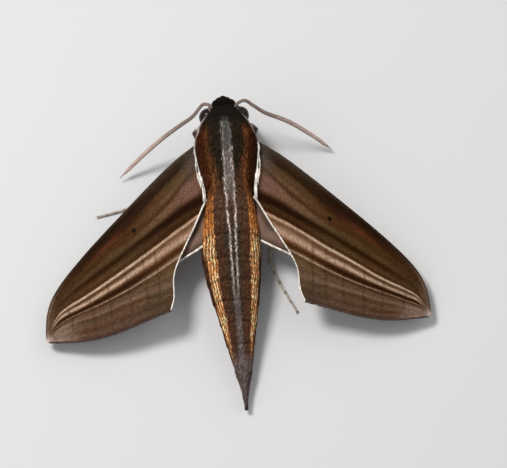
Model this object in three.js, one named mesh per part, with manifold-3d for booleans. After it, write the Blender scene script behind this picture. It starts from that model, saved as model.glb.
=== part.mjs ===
// A striped hawk moth at rest, life size, in millimetres.
// +X is the moth's right, +Y is towards its head, +Z is up, and it stands on the plane z = 0.
import * as THREE from "three";
import { mergeVertices } from "three/addons/utils/BufferGeometryUtils.js";
import Module from "manifold-3d";

const wasm = await Module();
wasm.setup();

// ---- Driving dimensions ----
const bodyLength = 41.5;          // palps to the tip of the tail tuft
const halfSpan = 25.1;            // body axis to a wing tip, wings swept back
const wingThickness = 0.5;
const wingGap = 0.35;             // forewing underside to hindwing top
const seam = 0.2;                 // gap between neighbouring pieces
const palpY = bodyLength / 2;
const tailY = -bodyLength / 2;

// Where the lengths of the body end, from the face to the tail tuft.
const faceY = 20.05;
const neckY = 16.9;
const shoulderY = 15.5;
const waistY = 7.5;
const abdomenSeams = [4.4, 1.4, -1.5, -4.3, -6.9, -9.5, -12.2, -15.1];
const tuftY = abdomenSeams[abdomenSeams.length - 1];

// Outline of head, thorax and abdomen: [y, half width, top, bottom, middle x], from head to tail.
const bodyStations = [
  [faceY, 1.4, 8.0, 5.5, 0],
  [19.4, 1.85, 8.3, 5.2, 0],
  [18.6, 2.35, 8.75, 4.9, 0],
  [17.6, 2.92, 9.35, 4.5, 0],
  [neckY, 3.32, 9.7, 4.2, 0],
  [15.6, 3.82, 10.3, 3.5, 0],
  [14.3, 4.12, 10.6, 3.0, 0],
  [12.8, 4.05, 10.7, 2.7, 0],
  [11.0, 3.76, 10.5, 2.5, 0],
  [9.3, 3.44, 10.1, 2.4, 0],
  [waistY, 3.3, 9.6, 2.2, 0],
  [5.0, 3.55, 9.0, 1.8, -0.1],
  [2.0, 3.85, 8.4, 1.5, -0.26],
  [-0.5, 3.95, 7.75, 1.3, -0.36],
  [-3.0, 3.75, 6.95, 1.1, -0.32],
  [-6.0, 3.27, 5.95, 0.95, -0.22],
  [-9.0, 2.6, 4.9, 0.85, -0.08],
  [-12.0, 1.97, 3.85, 0.75, 0],
  [-15.0, 1.33, 2.9, 0.65, 0.13],
  [-17.5, 0.68, 2.2, 0.6, 0.18],
  [-19.5, 0.34, 1.65, 0.6, 0.17],
  [tailY, 0.25, 1.3, 0.7, 0.17],
];
const faceRoundFrom = 18.4;       // forward of this the head closes as a round cap

// The wings lie along one sloping plane, highest at the shoulder.
const shoulder = { x: 4, y: 13.6, z: 7.6, fallOutward: 0.19, fallRearward: 0.07 };
const wingBow = 0.6;              // rise of the wing's middle above that plane

// ---- Small tools ----
const mix = THREE.MathUtils.lerp;

// A smooth curve through [y, ...] rows, read by column; the rows run from high y to low.
function through(rows, column) {
  const slope = (a, b) => (b[column] - a[column]) / (b[0] - a[0]);
  const tangents = rows.map((row, i) => {
    if (i === 0) return slope(rows[0], rows[1]);
    if (i === rows.length - 1) return slope(rows[i - 1], row);
    return slope(rows[i - 1], rows[i + 1]);
  });
  return (y) => {
    let i = 0;
    while (i < rows.length - 2 && y < rows[i + 1][0]) i++;
    const step = rows[i + 1][0] - rows[i][0];
    const t = THREE.MathUtils.clamp((y - rows[i][0]) / step, 0, 1);
    const t2 = t * t;
    const t3 = t2 * t;
    return (2 * t3 - 3 * t2 + 1) * rows[i][column] + (t3 - 2 * t2 + t) * step * tangents[i]
      + (3 * t2 - 2 * t3) * rows[i + 1][column] + (t3 - t2) * step * tangents[i + 1];
  };
}

// Moves every vertex of a geometry by a function of its place.
function shaped(geometry, move) {
  const position = geometry.getAttribute("position");
  const point = new THREE.Vector3();
  for (let i = 0; i < position.count; i++) {
    point.fromBufferAttribute(position, i);
    move(point);
    position.setXYZ(i, point.x, point.y, point.z);
  }
  return geometry;
}

function toSolid(geometry) {
  const bare = geometry.clone();
  bare.deleteAttribute("normal");
  bare.deleteAttribute("uv");
  const merged = mergeVertices(bare, 1e-4);
  return new wasm.Manifold(new wasm.Mesh({
    numProp: 3,
    vertProperties: new Float32Array(merged.getAttribute("position").array),
    triVerts: new Uint32Array(merged.index.array),
  }));
}

function toGeometry(solid) {
  const mesh = solid.getMesh();
  const geometry = new THREE.BufferGeometry();
  geometry.setAttribute("position", new THREE.BufferAttribute(new Float32Array(mesh.vertProperties), 3));
  geometry.setIndex(new THREE.BufferAttribute(new Uint32Array(mesh.triVerts), 1));
  geometry.computeVertexNormals();
  return geometry;
}

// The largest connected body of a solid, which drops any sliver that a cut leaves.
function mainBody(solid) {
  const bodies = solid.decompose();
  bodies.sort((a, b) => b.volume() - a.volume());
  return bodies[0];
}

function ellipsoid(centre, radii, across, down) {
  const ball = new THREE.SphereGeometry(1, across, down);
  ball.scale(...radii);
  ball.translate(...centre);
  return toSolid(ball);
}

// A round tube along a smooth curve; radius is a function of the share of the way along.
function limb(points, radius, steps, sides = 6) {
  const curve = new THREE.CatmullRomCurve3(points.map((p) => new THREE.Vector3(...p)), false, "centripetal");
  const frames = curve.computeFrenetFrames(steps, false);
  const tube = new THREE.CylinderGeometry(1, 1, 1, sides, steps);
  return toSolid(shaped(tube, (p) => {
    const along = THREE.MathUtils.clamp(p.y + 0.5, 0, 1);
    const i = Math.round(along * steps);
    const r = radius(along);
    const centre = curve.getPointAt(along);
    const sideways = frames.normals[i].clone().multiplyScalar(p.z * r);
    const upward = frames.binormals[i].clone().multiplyScalar(p.x * r);
    p.copy(centre.add(sideways).add(upward));
  }));
}

// ---- Body: head, thorax, abdomen and tail tuft ----
const halfWidthAt = through(bodyStations, 1);
const topAt = through(bodyStations, 2);
const bottomAt = through(bodyStations, 3);
const middleAt = through(bodyStations, 4);

// A length of the body between two values of y, grown all round by grow and in its middle by swell.
function bodyPiece(yRear, yFront, rings, { grow = 0, swell = 0, around = 20 } = {}) {
  const roundFace = yFront > faceRoundFrom;
  const length = new THREE.CylinderGeometry(1, 1, 1, around, rings);
  return toSolid(shaped(length, (p) => {
    const along = p.y + 0.5;
    const y = mix(yRear, yFront, roundFace ? Math.sin((along * Math.PI) / 2) : along);
    const cap = Math.max(0, (y - faceRoundFrom) / (yFront + 0.02 - faceRoundFrom));
    const closing = roundFace ? Math.sqrt(1 - cap ** 2.4) : 1;
    const extra = grow + swell * Math.sin(along * Math.PI);
    const halfWidth = halfWidthAt(y) * closing + extra;
    const halfHeight = ((topAt(y) - bottomAt(y)) / 2) * closing + extra;
    p.set(middleAt(y) + p.x * halfWidth, y, (topAt(y) + bottomAt(y)) / 2 + p.z * halfHeight);
  }));
}

// ---- Wings ----
const wingTopZ = (x, y) => shoulder.z - shoulder.fallOutward * (x - shoulder.x)
  - shoulder.fallRearward * (shoulder.y - y)
  + wingBow * Math.sin((Math.PI * Math.max(0, x - shoulder.x)) / (halfSpan - shoulder.x));

const flatSpline = (points) => new THREE.SplineCurve(points.map((p) => new THREE.Vector2(...p)));

// Edges in plan: the costa is the leading edge, then the inner and outer margins meet at a corner.
const foreEdges = {
  costa: flatSpline([[2.6, 14.6], [4.4, 13.72], [8, 11.15], [14, 5.82], [20, 0.32], [23.4, -3.42],
    [24.75, -6.3], [halfSpan, -9.9]]),
  inner: flatSpline([[2.6, 6.6], [3.5, 5.49], [5, 2.47], [7, -1.28], [7.95, -3.75], [8.1, -6.55], [8.6, -8.2]]),
  outer: flatSpline([[8.6, -8.2], [12, -9.25], [16, -10.38], [20, -10.75], [halfSpan - 0.5, -10.2]]),
  corner: 0.6,
};
const hindEdges = {
  costa: flatSpline([[2.6, 11.0], [8, 8.2], [13, 3.4], [16.9, -2.2]]),
  inner: flatSpline([[2.6, 5.5], [3.3, 2.6], [3.6, 0.5]]),
  outer: flatSpline([[3.6, 0.5], [5, -0.3], [7.5, -1.75], [8.7, -3.6], [11, -5.2], [14.2, -5.6],
    [16.5, -3.6]]),
  corner: 0.3,
};

// Where a wing lies in plan: s runs from root to tip and t from the costa to the hind margin.
function wingPlan(edges, s, t) {
  const lead = edges.costa.getPoint(s);
  const rear = s < edges.corner
    ? edges.inner.getPoint(s / edges.corner)
    : edges.outer.getPoint((s - edges.corner) / (1 - edges.corner));
  return lead.lerp(rear, t);
}

function wingSolid(edges, drop, stepsAlong, stepsAcross) {
  const plate = new THREE.BoxGeometry(1, 1, 1, stepsAlong, stepsAcross, 1);
  return toSolid(shaped(plate, (p) => {
    const s = p.x + 0.5;
    const t = 0.5 - p.y;
    const upper = p.z > 0;
    const place = wingPlan(edges, s, t);
    p.set(place.x, place.y, wingTopZ(place.x, place.y) - drop - (upper ? 0 : wingThickness));
  }));
}

// ---- Legs: each runs from its hip to the ankle, then along the floor to the claw ----
const hipRadius = 0.6;
const footRadius = 0.27;
const footZ = 0.2;                // centre line of a foot that lies on the floor

const legRoutes = {
  foreleg_right: { hip: [1.5, 14.2, 3.6], heel: [2.3, 14.6, 2.3], knee: [4.1, 17.1, 4.2],
    ankle: [3.7, 19.0, 1.4], toes: [[3.3, 19.6, footZ], [2.4, 20.1, footZ], [1.5, 20.3, footZ]] },
  foreleg_left: { hip: [-1.5, 14.2, 3.6], heel: [-2.3, 14.6, 2.3], knee: [-4.0, 17.0, 4.2],
    ankle: [-3.8, 18.7, 1.4], toes: [[-3.4, 19.3, footZ], [-2.6, 19.9, footZ], [-1.7, 20.2, footZ]] },
  midleg_right: { hip: [1.8, 11.5, 3.4], heel: [2.9, 11.6, 2.2], knee: [6.6, 10.4, 4.3],
    ankle: [9.8, 7.6, 1.2], toes: [[11.1, 6.2, footZ], [12.2, 4.6, footZ], [13.2, 3.0, footZ]] },
  midleg_left: { hip: [-1.8, 11.5, 3.4], heel: [-2.9, 11.6, 2.2], knee: [-7.6, 10.5, 4.4],
    ankle: [-12.0, 9.0, 1.2], toes: [[-13.6, 8.5, footZ], [-15.6, 8.0, footZ], [-17.6, 7.6, footZ]] },
  hindleg_right: { hip: [1.7, 8.9, 3.2], heel: [2.4, 8.2, 2.0], knee: [5.6, 5.6, 3.8],
    ankle: [4.7, -0.7, 0.9], toes: [[5.3, -2.3, footZ], [6.4, -4.9, footZ], [7.75, -7.7, footZ]] },
  hindleg_left: { hip: [-1.7, 8.9, 3.2], heel: [-2.4, 8.2, 2.0], knee: [-6.3, 6.2, 3.8],
    ankle: [-8.6, 0.6, 0.9], toes: [[-9.5, -1.2, footZ], [-10.8, -3.4, footZ], [-12.2, -5.5, footZ]] },
};

const midPoint = (a, b, share) => a.map((value, i) => mix(value, b[i], share));

function legSolid(route) {
  const { hip, heel, knee, ankle, toes } = route;
  const thigh = limb([hip, heel, midPoint(heel, knee, 0.5), knee],
    (along) => mix(hipRadius, 0.36, along ** 1.5), 5);
  const shin = limb([knee, midPoint(knee, ankle, 0.5), ankle],
    (along) => mix(0.37, 0.3, along), 2);
  const foot = limb([ankle, ...toes], (along) => mix(0.3, footRadius - 0.02, along), 6);
  const joints = [ellipsoid(knee, [0.4, 0.4, 0.4], 8, 5), ellipsoid(ankle, [0.33, 0.33, 0.33], 8, 5)];
  const whole = joints.reduce((sum, joint) => sum.add(joint), thigh.add(shin).add(foot));
  return whole.trimByPlane([0, 0, 1], 0);
}

// ---- Antennae ----
const antennaRoutes = {
  antenna_right: [[1.45, 18.55, 8.2], [1.95, 19.0, 8.6], [2.9, 19.35, 8.45], [3.9, 18.85, 7.9], [5.5, 18.05, 7.0],
    [8.5, 17.3, 5.4], [11.5, 16.2, 3.1], [13.6, 15.2, 1.3], [14.1, 14.9, 0.9]],
  antenna_left: [[-1.45, 18.55, 8.2], [-1.95, 19.0, 8.6], [-2.8, 19.1, 8.4], [-4.2, 17.95, 7.5], [-6, 17.15, 6.6],
    [-8.4, 16.15, 5.1], [-11, 14.85, 3.2], [-13.8, 13.15, 1.2], [-14.3, 12.75, 0.9]],
};
const antennaRadius = (along) => 0.26 + 0.1 * Math.sin(Math.PI * Math.min(1, along) ** 1.3);

// ---- Assembly ----
const moth = new THREE.Group();

const finishes = {
  olive: { color: 0x14110c, roughness: 0.85 },
  brown: { color: 0x3a2115, roughness: 0.85 },
  gold: { color: 0x8a5527, roughness: 0.7 },
  wing: { color: 0x4b3824, roughness: 0.75 },
  hindwing: { color: 0x5a4038, roughness: 0.8 },
  grey: { color: 0x6d625c, roughness: 0.85 },
  limb: { color: 0x8b7a6c, roughness: 0.8 },
  eye: { color: 0x120a08, roughness: 0.15 },
};

function addMesh(parent, name, solid, finish) {
  const material = new THREE.MeshStandardMaterial({ ...finishes[finish], metalness: 0 });
  const mesh = new THREE.Mesh(toGeometry(mainBody(solid)), material);
  mesh.name = name;
  parent.add(mesh);
}

// What comes as a pair is modelled on the right and mirrored on the left.
function addPair(name, solid, finish) {
  for (const [side, sign] of [["right", 1], ["left", -1]]) {
    const half = new THREE.Group();
    half.scale.x = sign;
    addMesh(half, `${name}_${side}`, solid, finish);
    moth.add(half);
  }
}

// Eyes, palps and the coiled tongue sit on the head, which is cut back round the eyes.
const eyeCentre = [2.12, 18.05, 6.75];
const eyeRadii = [1.2, 1.18, 1.4];
const palpRadii = [0.84, 1.2, 1.7];
const palpCentre = [0.5, palpY - palpRadii[1], 6.6];
const tongueCentre = [0, 19.3, 4.1];
const tongueRadius = 0.8;
const tongueThickness = 0.55;

const grown = (radii) => radii.map((r) => r + seam);
const mirroredX = (solid) => solid.mirror([1, 0, 0]);
const bothSides = (solid) => solid.add(mirroredX(solid));

const eyeSockets = bothSides(ellipsoid(eyeCentre, grown(eyeRadii), 14, 9));
const headGrown = bodyPiece(neckY, faceY + seam, 8, { grow: seam });
const tongueDisc = new THREE.CylinderGeometry(tongueRadius, tongueRadius, tongueThickness, 14);
tongueDisc.rotateZ(Math.PI / 2);
tongueDisc.translate(...tongueCentre);

addMesh(moth, "head", bodyPiece(neckY + seam / 2, faceY, 8).subtract(eyeSockets), "olive");
addPair("eye", ellipsoid(eyeCentre, eyeRadii, 14, 9), "eye");
const betweenPalps = new THREE.BoxGeometry(4, 6, 8).translate(seam / 2 - 2, palpCentre[1], palpCentre[2]);
addPair("palp", ellipsoid(palpCentre, palpRadii, 12, 8).subtract(headGrown).subtract(toSolid(betweenPalps)), "grey");
addMesh(moth, "proboscis", toSolid(tongueDisc).subtract(headGrown)
  .subtract(bothSides(ellipsoid(palpCentre, grown(palpRadii), 12, 8))), "gold");

// The thorax; each shoulder flap is a leaf let into its upper side.
const leaf = (grow) => {
  const outline = new THREE.Shape();
  outline.moveTo(3.0 + grow, shoulderY - 0.3 + grow);
  outline.bezierCurveTo(4.6 + grow, 14.4, 4.5 + grow, 11.2, 3.1, 8.1 - grow);
  outline.lineTo(2.6, 8.1 - grow);
  outline.bezierCurveTo(1.5 - grow, 10.8, 1.6 - grow, 13.8, 2.3 - grow, shoulderY - 0.3 + grow);
  outline.closePath();
  const prism = new THREE.ExtrudeGeometry(outline, { depth: 6, bevelEnabled: false, curveSegments: 5 });
  prism.translate(0, 0, 8.0 - grow);
  return toSolid(prism);
};
const flapProud = 0.15;
const flapDepth = 0.45;
const underFlap = (grow) => bodyPiece(waistY - 1, shoulderY + 1, 10, { grow });
const flapPocket = bothSides(leaf(seam).subtract(underFlap(-flapDepth - seam)));
const flap = bodyPiece(waistY, shoulderY, 10, { grow: flapProud })
  .subtract(underFlap(-flapDepth)).intersect(leaf(0));
addMesh(moth, "thorax", bodyPiece(waistY + seam / 2, neckY - seam / 2, 10).subtract(flapPocket), "brown");
addPair("shoulder_flap", flap, "brown");

// The abdomen's segments taper to a tuft of long scales.
let front = waistY;
abdomenSeams.forEach((rear, i) => {
  const segment = bodyPiece(rear + seam / 2, front - seam / 2, 2, { swell: 0.08 });
  addMesh(moth, `abdomen_${i + 1}`, segment, i % 2 ? "brown" : "gold");
  front = rear;
});
addMesh(moth, "tail_tuft", bodyPiece(tailY, tuftY - seam / 2, 5, { around: 12 }), "grey");

// Wings, each cut clear of the body, which bends a little to one side behind the waist.
const bodyGrown = bodyPiece(tuftY, faceRoundFrom, 28, { grow: seam + 0.05 });
const hindDrop = wingThickness + wingGap;
const forewing = wingSolid(foreEdges, 0, 18, 5);
const hindwing = wingSolid(hindEdges, hindDrop, 14, 4);
addMesh(moth, "forewing_right", forewing.subtract(bodyGrown), "wing");
addMesh(moth, "forewing_left", mirroredX(forewing).subtract(bodyGrown), "wing");
addMesh(moth, "hindwing_right", hindwing.subtract(bodyGrown), "hindwing");
addMesh(moth, "hindwing_left", mirroredX(hindwing).subtract(bodyGrown), "hindwing");

for (const [name, route] of Object.entries(legRoutes)) {
  addMesh(moth, name, legSolid(route).subtract(bodyGrown), "limb");
}

for (const [name, route] of Object.entries(antennaRoutes)) {
  addMesh(moth, name, limb(route, antennaRadius, 22).subtract(headGrown).subtract(eyeSockets), "grey");
}

export default moth;
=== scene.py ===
import bpy
import numpy as np
from math import cos, pi, radians, sin
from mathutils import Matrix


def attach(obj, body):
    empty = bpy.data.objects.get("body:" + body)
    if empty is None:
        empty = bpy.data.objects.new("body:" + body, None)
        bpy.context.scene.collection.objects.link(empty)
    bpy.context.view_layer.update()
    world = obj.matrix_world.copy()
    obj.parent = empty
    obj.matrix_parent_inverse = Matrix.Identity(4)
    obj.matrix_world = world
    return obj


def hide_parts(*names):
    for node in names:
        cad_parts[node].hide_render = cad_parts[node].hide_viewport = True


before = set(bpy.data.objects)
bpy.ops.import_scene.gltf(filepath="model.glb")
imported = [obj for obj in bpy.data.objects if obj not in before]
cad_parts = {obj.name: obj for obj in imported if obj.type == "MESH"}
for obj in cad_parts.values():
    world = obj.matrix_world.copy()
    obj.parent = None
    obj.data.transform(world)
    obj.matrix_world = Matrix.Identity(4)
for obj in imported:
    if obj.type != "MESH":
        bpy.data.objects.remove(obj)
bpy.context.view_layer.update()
scene = bpy.context.scene
mm = 0.001                      # all shapes below are worked out in millimetres
chance = np.random.default_rng(11)

# ---------- camera, light and floor ----------
studio = {
    "aim": (2.86, 3.75, 0.0),   # floor point in the middle of the picture
    "azimuth": -4.2, "elevation": 68, "distance": 300,
    "lens": 160.5,
    "keyPlace": (-170, 110, 380), "keySize": 0.12, "keyPower": 1.9,
    "fillPlace": (-260, -200, 260), "fillSize": 0.5, "fillPower": 0.75,
    "backPlace": (240, 120, 220), "backSize": 0.4, "backPower": 0.45,
    "air": (0.9, 0.95, 1.0), "airStrength": 0.3,
    "floorColour": (0.5, 0.5, 0.505), "floorSize": 3.0,
}


def aimAt(thing, place, target):
    way = np.array(target, float) - np.array(place, float)
    from mathutils import Vector
    thing.location = Vector(place) * mm
    thing.rotation_euler = Vector(way).to_track_quat("-Z", "Y").to_euler()


def addLight(name, place, size, power, colour):
    light = bpy.data.lights.new(name, "AREA")
    light.size = size
    light.energy = power
    light.color = colour
    lamp = bpy.data.objects.new(name, light)
    scene.collection.objects.link(lamp)
    aimAt(lamp, place, (0, 2, 4))


turn, rise = radians(studio["azimuth"]), radians(studio["elevation"])
cameraData = bpy.data.cameras.new("camera")
cameraData.lens = studio["lens"]
cameraData.sensor_width = 36
cameraData.clip_start = 0.01
camera = bpy.data.objects.new("camera", cameraData)
scene.collection.objects.link(camera)
reach = studio["distance"]
eyePoint = np.array(studio["aim"]) + reach * np.array([sin(turn) * cos(rise), -cos(turn) * cos(rise), sin(rise)])
aimAt(camera, eyePoint, studio["aim"])
scene.camera = camera

addLight("key", studio["keyPlace"], studio["keySize"], studio["keyPower"], (1.0, 0.98, 0.95))
addLight("fill", studio["fillPlace"], studio["fillSize"], studio["fillPower"], (0.95, 0.97, 1.0))
addLight("back", studio["backPlace"], studio["backSize"], studio["backPower"], (1.0, 0.97, 0.93))

world = bpy.data.worlds.new("air")
world.use_nodes = True
world.node_tree.nodes["Background"].inputs["Color"].default_value = (*studio["air"], 1)
world.node_tree.nodes["Background"].inputs["Strength"].default_value = studio["airStrength"]
scene.world = world
scene.view_settings.view_transform = "Standard"


# ---------- curves and meshes ----------

# Cubic pieces through rows of (place, value, ...), each row's slope taken from its two neighbours.
def smoothThrough(rows):
    table = np.array(rows, float)
    if table[0, 0] > table[-1, 0]:
        table = table[::-1]
    x, v = table[:, 0], table[:, 1:]
    slope = np.empty_like(v)
    slope[1:-1] = (v[2:] - v[:-2]) / (x[2:] - x[:-2])[:, None]
    slope[0] = (v[1] - v[0]) / (x[1] - x[0])
    slope[-1] = (v[-1] - v[-2]) / (x[-1] - x[-2])

    def at(place):
        q = np.clip(np.asarray(place, float), x[0], x[-1])
        i = np.clip(np.searchsorted(x, q, side="right") - 1, 0, len(x) - 2)
        step = (x[i + 1] - x[i])[..., None]
        t = (q - x[i])[..., None] / step
        return ((2 * t**3 - 3 * t**2 + 1) * v[i] + (t**3 - 2 * t**2 + t) * step * slope[i]
                + (3 * t**2 - 2 * t**3) * v[i + 1] + (t**3 - t**2) * step * slope[i + 1])
    return at


# Even-paced cubic curve through points: a Catmull-Rom spline whose end points count twice.
def splineAt(points, share):
    p = np.array(points, float)
    pace = np.clip(share, 0, 1) * (len(p) - 1)
    i = np.minimum(pace.astype(int), len(p) - 2)
    t = (pace - i)[..., None]
    a, b, c, d = p[np.maximum(i - 1, 0)], p[i], p[i + 1], p[np.minimum(i + 2, len(p) - 1)]
    return 0.5 * (2 * b + (c - a) * t + (2 * a - 5 * b + 4 * c - d) * t**2 + (3 * b - a - 3 * c + d) * t**3)


# The same curve, walked at an even speed: rows of points at equal steps of its length.
def evenWalk(points, steps):
    fine = splineAt(points, np.linspace(0, 1, 600))
    gone = np.concatenate([[0], np.cumsum(np.linalg.norm(np.diff(fine, axis=0), axis=1))])
    want = np.linspace(0, gone[-1], steps)
    return np.stack([np.interp(want, gone, fine[:, k]) for k in range(3)], 1), gone[-1]


def unit(v):
    return v / np.maximum(np.linalg.norm(v, axis=-1, keepdims=True), 1e-9)


def ease(low, high, value):
    t = np.clip((np.asarray(value, float) - low) / (high - low), 0, 1)
    return t * t * (3 - 2 * t)


def bell(value, middle, width):
    return np.exp(-(((value - middle) / width) ** 2))


# Triangles of a grid (rows, around) that closes on itself round each row, with a middle point on both end rows.
def closedGrid(points):
    rows, around = points.shape[:2]
    i = np.arange(rows * around).reshape(rows, around)
    j = np.roll(i, -1, axis=1)
    walls = [np.stack([i[:-1], j[:-1], j[1:]], -1), np.stack([i[:-1], j[1:], i[1:]], -1)]
    first, last = rows * around, rows * around + 1
    caps = [np.stack([np.full(around, first), j[0], i[0]], -1), np.stack([np.full(around, last), i[-1], j[-1]], -1)]
    flat = np.concatenate([points.reshape(-1, 3), points[:1].mean(1), points[-1:].mean(1)])
    return flat, np.concatenate([w.reshape(-1, 3) for w in walls + caps])


# Values given on the grid's points, continued to the two middle points that closedGrid adds.
def withCaps(values):
    rows = values.reshape(values.shape[0], values.shape[1], -1)
    flat = rows.reshape(-1, rows.shape[-1])
    return np.concatenate([flat, rows[:1].mean(1), rows[-1:].mean(1)])


def joined(parts):
    points, faces, start = [], [], 0
    for p, f in parts:
        points.append(p)
        faces.append(f + start)
        start += len(p)
    return np.concatenate(points), np.concatenate(faces)


# Faces are turned outwards by the sign of the volume they enclose.
def outward(points, faces):
    a, b, c = points[faces[:, 0]], points[faces[:, 1]], points[faces[:, 2]]
    return faces if np.einsum("ij,ij->", a, np.cross(b, c)) > 0 else faces[:, ::-1]


def makeMesh(name, points, faces, marks=None, uv=None):
    mesh = bpy.data.meshes.new(name)
    faces = outward(points, faces)
    mesh.vertices.add(len(points))
    mesh.vertices.foreach_set("co", (points * mm).astype(np.float32).ravel())
    mesh.loops.add(faces.size)
    mesh.loops.foreach_set("vertex_index", faces.astype(np.int32).ravel())
    mesh.polygons.add(len(faces))
    mesh.polygons.foreach_set("loop_start", np.arange(0, faces.size, 3, dtype=np.int32))
    mesh.update(calc_edges=True)
    mesh.shade_smooth()
    for key, values in (marks or {}).items():
        four = np.ones((len(points), 4), np.float32)
        four[:, :values.shape[1]] = values
        mesh.attributes.new(key, "FLOAT_COLOR", "POINT").data.foreach_set("color", four.ravel())
    if uv is not None:
        layer = mesh.uv_layers.new(name="OFBake")
        layer.data.foreach_set("uv", uv[faces].astype(np.float32).ravel())
    return mesh


def addPiece(name, mesh, material, slot, *stoodFor):
    piece = bpy.data.objects.new(name, mesh)
    scene.collection.objects.link(piece)
    mesh.materials.append(material)
    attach(piece, "root")
    if stoodFor:
        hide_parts(*stoodFor)
    return piece


# Directions square to a path, carried along it without twist.
def sideways(path, start=(0, 0, 1)):
    ahead = unit(np.gradient(path, axis=0))
    square = [unit(np.cross(np.cross(ahead[0], start), ahead[0]))]
    for way in ahead[1:]:
        square.append(unit(square[-1] - way * np.dot(square[-1], way)))
    across = np.array(square)
    return ahead, across, np.cross(ahead, across)


# A round tube: the path's point plus radius times (cos a, sin a) in the plane square to the path.
def tubeGrid(path, radius, around=12, start=(0, 0, 1), flatten=1.0):
    ahead, up, right = sideways(path, start)
    a = np.linspace(0, 2 * pi, around, endpoint=False)
    r = np.broadcast_to(radius, (len(path),))[:, None, None]
    return path[:, None] + r * (np.cos(a)[None, :, None] * up[:, None] * flatten
                                + np.sin(a)[None, :, None] * right[:, None])


# ---------- hairs and scales ----------

# One closed blade for each root. Its middle line is root + lie*length*t + normal*(lift*(1-(1-t)^2) - sink) + side*sway*t^2;
# the section is a low triangle at the root and at its widest place, and the end is a point.
def blades(root, normal, lie, length, width, lift, sway=0.0, thick=0.03, waist=0.55, rootShare=0.6, sink=0.03):
    n = len(root)
    normal = unit(normal)
    lie = unit(lie - normal * np.sum(lie * normal, -1, keepdims=True))
    side = np.cross(lie, normal)
    length, width, lift, sway, thick = (np.broadcast_to(v, (n,)) for v in (length, width, lift, sway, thick))

    def middle(t):
        return (root + lie * (length * t)[:, None] + normal * (lift * (1 - (1 - t) ** 2) - sink)[:, None]
                + side * (sway * t * t)[:, None])

    def section(t, share):
        half = side * (width * share / 2)[:, None]
        high = normal * thick[:, None]
        return [middle(t) - half, middle(t) + half, middle(t) + high]

    points = np.stack([*section(0.0, rootShare), *section(waist, 1.0), middle(1.0)], 1)
    one = np.array([[0, 2, 1], [0, 1, 4], [0, 4, 3], [1, 2, 5], [1, 5, 4], [2, 0, 3], [2, 3, 5],
                    [3, 4, 6], [4, 5, 6], [5, 3, 6]])
    faces = (np.arange(n) * 7)[:, None, None] + one
    return points.reshape(-1, 3), faces.reshape(-1, 3)


# Each blade's own patch, 0.003 across, at its root's place on the unwrapped skin.
def bladePatches(place):
    corner = 0.0015 * np.array([[-1, -1], [1, -1], [0, -0.8], [-1, 0.2], [1, 0.2], [0, 0.3], [0, 1]])
    return (place[:, None] + corner).reshape(-1, 2)


def perBlade(values):
    return np.repeat(values, 7, axis=0)


# ---------- body form ----------
body = {
    # y, half width, top, bottom, middle x, from the face to the tip of the tail
    "stations": [
        (20.05, 1.4, 8.0, 5.5, 0), (19.4, 1.85, 8.3, 5.2, 0), (18.6, 2.35, 8.75, 4.9, 0), (17.6, 2.92, 9.35, 4.5, 0),
        (16.9, 3.32, 9.7, 4.2, 0), (15.6, 3.82, 10.3, 3.5, 0), (14.3, 4.12, 10.6, 3.0, 0), (12.8, 4.05, 10.7, 2.7, 0),
        (11.0, 3.76, 10.5, 2.5, 0), (9.3, 3.44, 10.1, 2.4, 0), (7.5, 3.3, 9.6, 2.2, 0), (5.0, 3.55, 9.0, 1.8, -0.1),
        (2.0, 3.85, 8.4, 1.5, -0.26), (-0.5, 3.95, 7.75, 1.3, -0.36), (-3.0, 3.75, 6.95, 1.1, -0.32),
        (-6.0, 3.27, 5.95, 0.95, -0.22), (-9.0, 2.6, 4.9, 0.85, -0.08), (-12.0, 1.97, 3.85, 0.75, 0),
        (-15.0, 1.33, 2.9, 0.65, 0.13), (-17.5, 0.68, 2.2, 0.6, 0.18), (-19.5, 0.34, 1.65, 0.6, 0.17),
        (-20.75, 0.25, 1.3, 0.7, 0.17)],
    "faceY": 20.05, "roundFrom": 18.4, "faceEnd": 20.07, "length": 40.8,
    "coatDepth": [(-20.75, 0.08), (-17, 0.12), (-9, 0.15), (4, 0.17), (9, 0.2), (15, 0.2), (17.5, 0.13), (20.2, 0.1)],
    "seams": [7.5, 4.4, 1.4, -1.5, -4.3, -6.9, -9.5, -12.2, -15.1],
    "seamStep": 0.06,
    "flap": (3.15, 11.7, 1.35, 3.9), "flapProud": 0.13,
    "palpCentre": (0.5, 19.55, 6.6), "palpRadii": (0.84, 1.2, 1.7), "palpCoat": 0.08,
    # balls of the skin beside the palps: the snout between them, and the brows that run from the face to the eyes
    "fillers": [((0, 19.65, 6.8), (0.66, 1.17, 1.6)), ((1.4, 18.65, 6.9), (0.72, 1.0, 1.5)),
                ((-1.4, 18.65, 6.9), (0.72, 1.0, 1.5)), ((1.1, 19.35, 6.9), (0.55, 0.85, 1.35)),
                ((-1.05, 19.35, 6.9), (0.5, 0.85, 1.35))],
    "eyeCentre": (2.12, 18.05, 6.75), "eyeRadii": (1.2, 1.18, 1.4),
    "voxel": 0.00011,
}
bodyForm = smoothThrough(body["stations"])
coatDepth = smoothThrough(body["coatDepth"])


# Place y for a share p from the tail (0) to the face (1); near the face y slows as the square of what is left.
def bodyY(p):
    left = 1 - np.asarray(p, float)
    return body["faceY"] - body["length"] * 1.04 * left**2 / (left + 0.04)


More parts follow.
